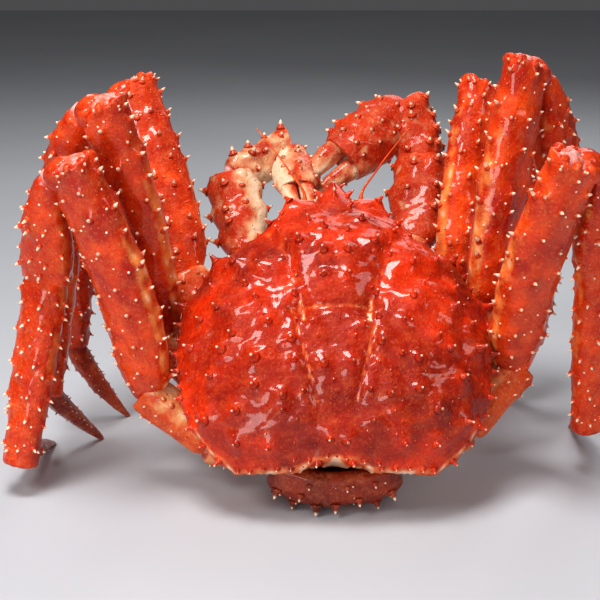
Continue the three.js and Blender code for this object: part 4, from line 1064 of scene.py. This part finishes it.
def addBeak(bm):
    # the pointed beak between the eyes, with its upright spine and side prickles
    root, tip = Vector(beak["root"]), Vector(beak["tip"])
    length = (tip - root).length
    turn = frameAlong(root, tip - root, Vector((1, 0, 0)))
    w, d = beak["halfWidth"], beak["halfDepth"]
    rings = [(-6, 0, 0, 0, 0, 0), (-5, 0.8 * w, 0.8 * d, 0, 0, 0)]
    rings += [(t * length, across * w, through * d, 0, 0, 0) for t, across, through in beak["shares"]]
    rings += [(length, 0, 0, 0, 0, 0)]
    shape = newShape()
    lay, _ = tubeLay(rings, 2.0)
    ball, down, angle = ballRings(shape, 32, 44)
    place = lay(down, angle)
    tipMark = smoothStep(0.8, 0.98, place[:, 2] / length)
    setBall(shape, ball, place, {"tip": tipMark, "deep": np.full(len(place), 0.5)})
    sites = []
    for at, degrees, size in beak["spines"]:
        way = Vector((math.cos(math.radians(degrees)), -math.sin(math.radians(degrees)), 0.5))
        across, through = (float(along([(row[0], row[k]) for row in beak["shares"]], np.array([at]))[0])
                           for k in (1, 2))
        foot = (way.x * across * w * 0.94, way.y * through * d * 0.94, at * length)
        sites.append((foot, way, size, 0.36 * size, "spine"))
    addSpines(shape, sites)
    bmesh.ops.transform(shape, matrix=turn, verts=shape.verts)
    mesh = bpy.data.meshes.new("beak")
    shape.to_mesh(mesh)
    shape.free()
    bm.from_mesh(mesh)


makeShell()
print("shell made")


# underside, tail, mouth legs, feelers and eyes

underside = {
    "front": 146, "length": 128, "topShare": 0.35, "depth": 44, "share": 0.82,
    "keel": [[9, 0.45], [24, 0.8], [46, 0.9], [100, 0.86], [128, 0.7], [146, 0.3]],   # depth down the length
    "ribGap": 29, "ribHeight": 1.2, "seamDepth": 2.6, "middleSeam": 1.8,
}


def layUnderside(down, turn):
    y = underside["front"] - underside["length"] * down
    topShare, gap = underside["topShare"], underside["ribGap"]
    share = (turn / math.tau + 1.0) % 1.0
    onTop = share < topShare
    q = np.where(onTop, share / topShare, 1 - (share - topShare) / (1 - topShare))
    half = underside["share"] * shellHalf(np.minimum(y, 136))
    wide = half * np.minimum(1, 9 * np.sin(math.pi * down))
    x = -wide * np.cos(math.pi * q)
    top = shellRim(y) - backShell["flank"] * along(backShell["under"], y) - 0.4
    belly = (1 - np.abs(np.cos(math.pi * q)) ** 2.2) ** 0.8
    depth = underside["depth"] * belly * along(underside["keel"], y) * np.minimum(1, 6 * np.sin(math.pi * down))
    across = (y - 0.25 * np.abs(x) + 6) % gap - 0.5 * gap
    seams = underside["seamDepth"] * np.exp(-(across / 2.6) ** 2) * smoothStep(5, 16, np.abs(x))
    seams = seams + underside["middleSeam"] * np.exp(-(x / 2.4) ** 2)
    ribs = belly * (underside["ribHeight"] * np.cos(across * math.tau / gap) * smoothStep(8, 30, np.abs(x)) - seams)
    return np.column_stack([x, y, np.where(onTop, top, top - depth - ribs)])


def undersideMarks(down, turn, place):
    rear = smoothStep(34, 20, place[:, 1])
    return {"pale": 0.35 + 0.3 * waves(place, 26, 12) - 0.9 * rear, "deep": rear}


def makeUnderside():
    bm = newShape()
    plainShape(bm, 150, 110, layUnderside, undersideMarks, (0.4, 18))
    finishPiece("thorax", bm, bodyMatrix, shells["belly"])


makeUnderside()

tail = {
    # the middle line round under the body, and its half widths at even steps
    "path": [(9.5, -5), (1, -15.5), (2, -29), (11, -39), (26, -46), (46, -50), (70, -51), (92, -48)],
    "halfWidths": [31, 36, 36, 33, 29, 24, 17, 8],
    "thickness": 9.6, "bow": 8,
    # spikes on the first plate: x, how far down it, length and half width
    "spikes": [(-30, 0.3, 7, 2.9), (-9, 0.36, 7.6, 3.2), (3, 0.34, 6.6, 2.9), (-18, 0.28, 5, 2.4),
               (13, 0.3, 5.4, 2.5), (29, 0.3, 7, 2.9), (-22, 0.52, 6, 2.6), (-4, 0.54, 6, 2.6), (10, 0.52, 6, 2.6),
               (22, 0.5, 6, 2.6), (5, 0.16, 3.6, 1.8), (-14, 0.16, 3.6, 1.8), (21, 0.16, 4, 1.9)],
    "plates": {"tail_tip": (0.66, 1.0), "tail_middle": (0.36, 0.68), "tail_base": (0.0, 0.38)},
    "smallSpikes": 26, "clear": 6,   # no spike stands lower over the floor than this
}


def plateLay(first, last):
    # one plate of the tail, between two shares of the way along it
    pathY, pathZ = (curve(values) for values in zip(*tail["path"]))
    halfWide = curve(tail["halfWidths"])

    def lay(down, turn):
        t = first + (last - first) * down
        e = 0.004
        dy, dz = pathY(t + e) - pathY(t - e), pathZ(t + e) - pathZ(t - e)
        size = np.hypot(dy, dz) + 1e-9
        end = np.minimum(1, 5.5 * np.sin(math.pi * down)) ** 0.6
        wide = halfWide(t) * (0.86 + 0.14 * end)
        wide = wide * np.minimum(1, 14 * np.sin(math.pi * down))
        c, s = np.cos(turn), np.sin(turn)
        x = wide * np.sign(c) * np.abs(c) ** 0.6
        thick = 0.5 * tail["thickness"] * end * np.sign(s) * np.abs(s) ** 0.6
        ridges = 0.35 * np.cos(x * math.tau / 24) * (s < 0)
        thick = thick - np.sign(s) * ridges * end * 0.5
        y = pathY(t) + tail["bow"] * (x / 36) ** 2
        return np.column_stack([x, y + dz / size * thick, pathZ(t) - dy / size * thick])

    return lay


def makeTailPlate(name, first, last):
    bm = newShape()
    lay = plateLay(first, last)
    ball, down, turn = ballRings(bm, 112, 52)
    place = lay(down, turn)
    out = outward(lay, down, turn)
    world = np.array([bodyMatrix @ Vector(p) for p in place])
    place = place + out * (0.22 * waves(place, 16, 41))[:, None]
    bare = np.sin(turn) > 0.3
    big = tail["spikes"] if name == "tail_base" else []
    small = [(chance.uniform(-34, 34), chance.uniform(0.12, 0.88), chance.uniform(1.0, 2.4), 1.0)
             for _ in range(tail["smallSpikes"])]
    sites = []
    for x, wanted, size, width in big + small:
        index = int(np.argmin((place[:, 0] - x) ** 2 + (50 * (down - wanted)) ** 2 + 1e5 * ~bare))
        way = Vector(out[index]) + Vector((0, -0.3, -0.5)) * (size > 3)
        if world[index][2] > tail["clear"]:
            sites.append((index, np.array(way.normalized()), size, width))
    # the peaks bring painted shade, a darker red round each spike's foot
    place, deep = moundsUnder(place, sites, 1.0, 0.5)
    edge = smoothStep(0.12, 0.0, np.minimum(down, 1 - down))
    setBall(bm, ball, place, {"pale": 0.3 * edge + 0.25 * waves(place, 22, 43), "deep": deep})
    addSpines(bm, drawnSpines(place, sites, 0.5))
    finishPiece(name, bm, bodyMatrix, shells["tailShell"])


for name, (first, last) in tail["plates"].items():
    makeTailPlate(name, first, last)
print("tail made")


def bentLay(points, radii):
    # a tube along a curve through the points, with its half width given at even steps
    lines = [curve(values) for values in zip(*points)]
    halfWide = curve(radii)

    def spot(t):
        return np.column_stack([line(t) for line in lines])

    def lay(down, turn):
        e = 0.01
        way = spot(down + e) - spot(down - e)
        way /= np.linalg.norm(way, axis=1)[:, None]
        side = np.cross(way, np.array([1.0, 0, 0]))
        side /= np.linalg.norm(side, axis=1)[:, None]
        other = np.cross(side, way)
        r = halfWide(down) * np.minimum(1, 10 * np.sin(math.pi * down)) ** 0.5
        return spot(down) + side * (r * np.sin(turn))[:, None] + other * (r * np.cos(turn))[:, None]

    return lay


def simpleMaterial(name, colour, other, rough, coat, scale, bump=0.0):
    # two near colours in soft clouds
    material = bpy.data.materials.new(name)
    material.use_nodes = True
    tree = material.node_tree
    shader = tree.nodes["Principled BSDF"]
    where = tree.nodes.new("ShaderNodeTexCoord").outputs["Object"]
    noise = wire(tree, "ShaderNodeTexNoise", {"Vector": where, "Scale": scale, "Detail": 3.0}).outputs["Fac"]
    mixed = blendColour(tree, ramp(tree, noise, (0.35, 0), (0.65, 1)), colour, other)
    tree.links.new(mixed, shader.inputs["Base Color"])
    shader.inputs["Roughness"].default_value = rough
    shader.inputs["Coat Weight"].default_value = coat
    shader.inputs["Coat Roughness"].default_value = 0.05
    if bump:
        relief = wire(tree, "ShaderNodeBump", {"Height": noise, "Strength": 0.6, "Distance": bump})
        tree.links.new(relief.outputs["Normal"], shader.inputs["Normal"])
    return material


eyeBlack = simpleMaterial("eyeBlack", (0.012, 0.008, 0.008, 1), (0.03, 0.018, 0.014, 1), 0.12, 1.0, 2600.0, 0.00008)

face = {
    # a line of points, and half widths at even steps along it
    "maxilliped": {"points": [(10, 118, -36), (11, 134, -40), (11, 152, -44), (8, 166, -36), (5, 170, -24)],
                   "radii": [5, 6.2, 5.2, 5.8, 4.4, 4.8, 3.6, 3.4, 2.2], "rings": 90,
                   "spines": 16, "spined": (0.1, 0.95), "deep": 1.0},
    "antenna": {"points": [(17, 134, -8), (17, 152, -4), (16, 168, 0), (26, 184, 6), (44, 206, 14)],
                "radii": [4.6, 5.2, 4.4, 4.9, 2.2, 0.8, 0.6, 0.5, 0.42, 0.34], "rings": 160,
                "spines": 12, "spined": (0.12, 0.42), "deep": 0.0},
    "eye": {"points": [(6, 136, -6), (7, 152, 0), (8.5, 166, 4)], "radii": [3, 3.1, 3.0, 2.7, 3.4, 3.9, 3.4, 2.0]},
    # the upright prickles on each eye stalk: place forward, height, and length
    "eyeSpikes": [(156, 4.6, 5.0), (161, 7.0, 4.4), (164, 7.6, 3.0)],
    "cornea": 6.5, "corneaFrom": 164.6,   # the black tip of the eye: how far it reaches, and where it starts
}


def mirrored(points, side):
    return [(side * x, y, z) for x, y, z in points]


def makeFeeler(part, side, hand, material):
    form = face[part]
    bm = newShape()
    lay = bentLay(mirrored(form["points"], side), form["radii"])
    ball, down, turn = ballRings(bm, 30, form["rings"])
    place = lay(down, turn)
    out = outward(lay, down, turn)
    pale = 0.4 * smoothStep(0.5, 0.2, down) + 0.3 * waves(place, 12, 77)
    setBall(bm, ball, place, {"pale": pale, "deep": smoothStep(0.4, 0.6, down) * form["deep"]})
    sites = []
    for _ in range(form["spines"]):
        near = chance.uniform(*form["spined"])
        index = int(np.argmin(np.abs(down - near) + 0.02 * np.abs(turn - chance.uniform(-3.1, 3.1))))
        sites.append((place[index] - 0.2 * out[index], out[index] + np.array([0, 0.8, 0]),
                      chance.uniform(1.6, 3.4), 1.0, "spine"))
    addSpines(bm, sites)
    finishPiece(f"{part}_{hand}", bm, bodyMatrix, material)


def stalkMarks(down, turn, place):
    return {"pale": 0.9 - smoothStep(0.8, 0.5, down)}


def makeEye(side, hand):
    bm = newShape()
    lay = bentLay(mirrored(face["eye"]["points"], side), face["eye"]["radii"])
    plainShape(bm, 32, 60, lay, stalkMarks, (0.05, 8))
    for y, z, length in face["eyeSpikes"]:
        addSpines(bm, [((side * 8.5, y, z), (0.25 * side, 0.5, 1), length, 1.5, "spine")])
    piece = finishPiece("eye_" + hand, bm, bodyMatrix, shells["legBase"])
    piece.data.materials.append(eyeBlack)
    tip = bodyPoint(side, face["eye"]["points"][-1]) * mm
    bodyBack = bodyMatrix.inverted()
    for polygon in piece.data.polygons:
        forward = (bodyBack @ (polygon.center / mm)).y
        if (polygon.center - tip).length < face["cornea"] * mm and forward > face["corneaFrom"]:
            polygon.material_index = 1


for side, hand in ((-1, "left"), (1, "right")):
    makeFeeler("maxilliped", side, hand, shells["belly"])
    makeFeeler("antenna", side, hand, shells["legBase"])
    makeEye(side, hand)
print("face made")


# floor, light and camera

studio = {
    "floor": (0.5, 0.51, 0.54, 1), "floorClouds": (0.53, 0.54, 0.56, 1),
    "world": (0.8, 0.79, 0.82, 1), "worldLight": 0.1,
    # each lamp: place, size and power; all of them point at the same spot
    "lamps": {"key": ((-0.2, -0.16, 1.2), 0.38, 10.5), "left": ((-0.65, -0.5, 0.85), 0.3, 3.8),
              "right": ((0.9, -0.5, 0.6), 0.35, 1.7), "front": ((-0.2, -1.2, 0.8), 1.6, 3),
              "low": ((-0.42, -0.95, 0.16), 0.4, 3.5), "back": ((0.3, 0.9, 0.9), 0.7, 3.5)},
    "aim": (0, 0.02, 0.1),
    "camera": (-0.0187, -0.6209, 0.3139), "cameraTilt": 72, "lens": 75, "sensor": 36,
}


def makeFloor():
    bm = bmesh.new()
    bmesh.ops.create_grid(bm, x_segments=8, y_segments=8, size=3)
    mesh = bpy.data.meshes.new("floor")
    bm.to_mesh(mesh)
    bm.free()
    floor = bpy.data.objects.new("floor", mesh)
    bpy.context.scene.collection.objects.link(floor)
    mesh.materials.append(simpleMaterial("paleFloor", studio["floor"], studio["floorClouds"], 0.6, 0.0, 3.0))


def makeLights():
    world = bpy.data.worlds.new("studio")
    bpy.context.scene.world = world
    world.use_nodes = True
    world.node_tree.nodes["Background"].inputs["Color"].default_value = studio["world"]
    world.node_tree.nodes["Background"].inputs["Strength"].default_value = studio["worldLight"]
    for name, (place, size, power) in studio["lamps"].items():
        light = bpy.data.lights.new(name, "AREA")
        light.size = size
        light.energy = power
        lamp = bpy.data.objects.new(name, light)
        lamp.location = place
        lamp.rotation_euler = (Vector(studio["aim"]) - Vector(place)).to_track_quat("-Z", "Y").to_euler()
        bpy.context.scene.collection.objects.link(lamp)
    bpy.context.scene.view_settings.view_transform = "Standard"
    bpy.context.scene.view_settings.look = "Medium High Contrast"


def makeCamera():
    lens = bpy.data.cameras.new("camera")
    lens.lens = studio["lens"]
    lens.sensor_width = studio["sensor"]
    lens.clip_start = 0.02
    camera = bpy.data.objects.new("camera", lens)
    camera.location = studio["camera"]
    camera.rotation_euler = (math.radians(studio["cameraTilt"]), 0, 0)
    bpy.context.scene.collection.objects.link(camera)
    bpy.context.scene.camera = camera


makeFloor()
makeLights()
makeCamera()
print("studio made")
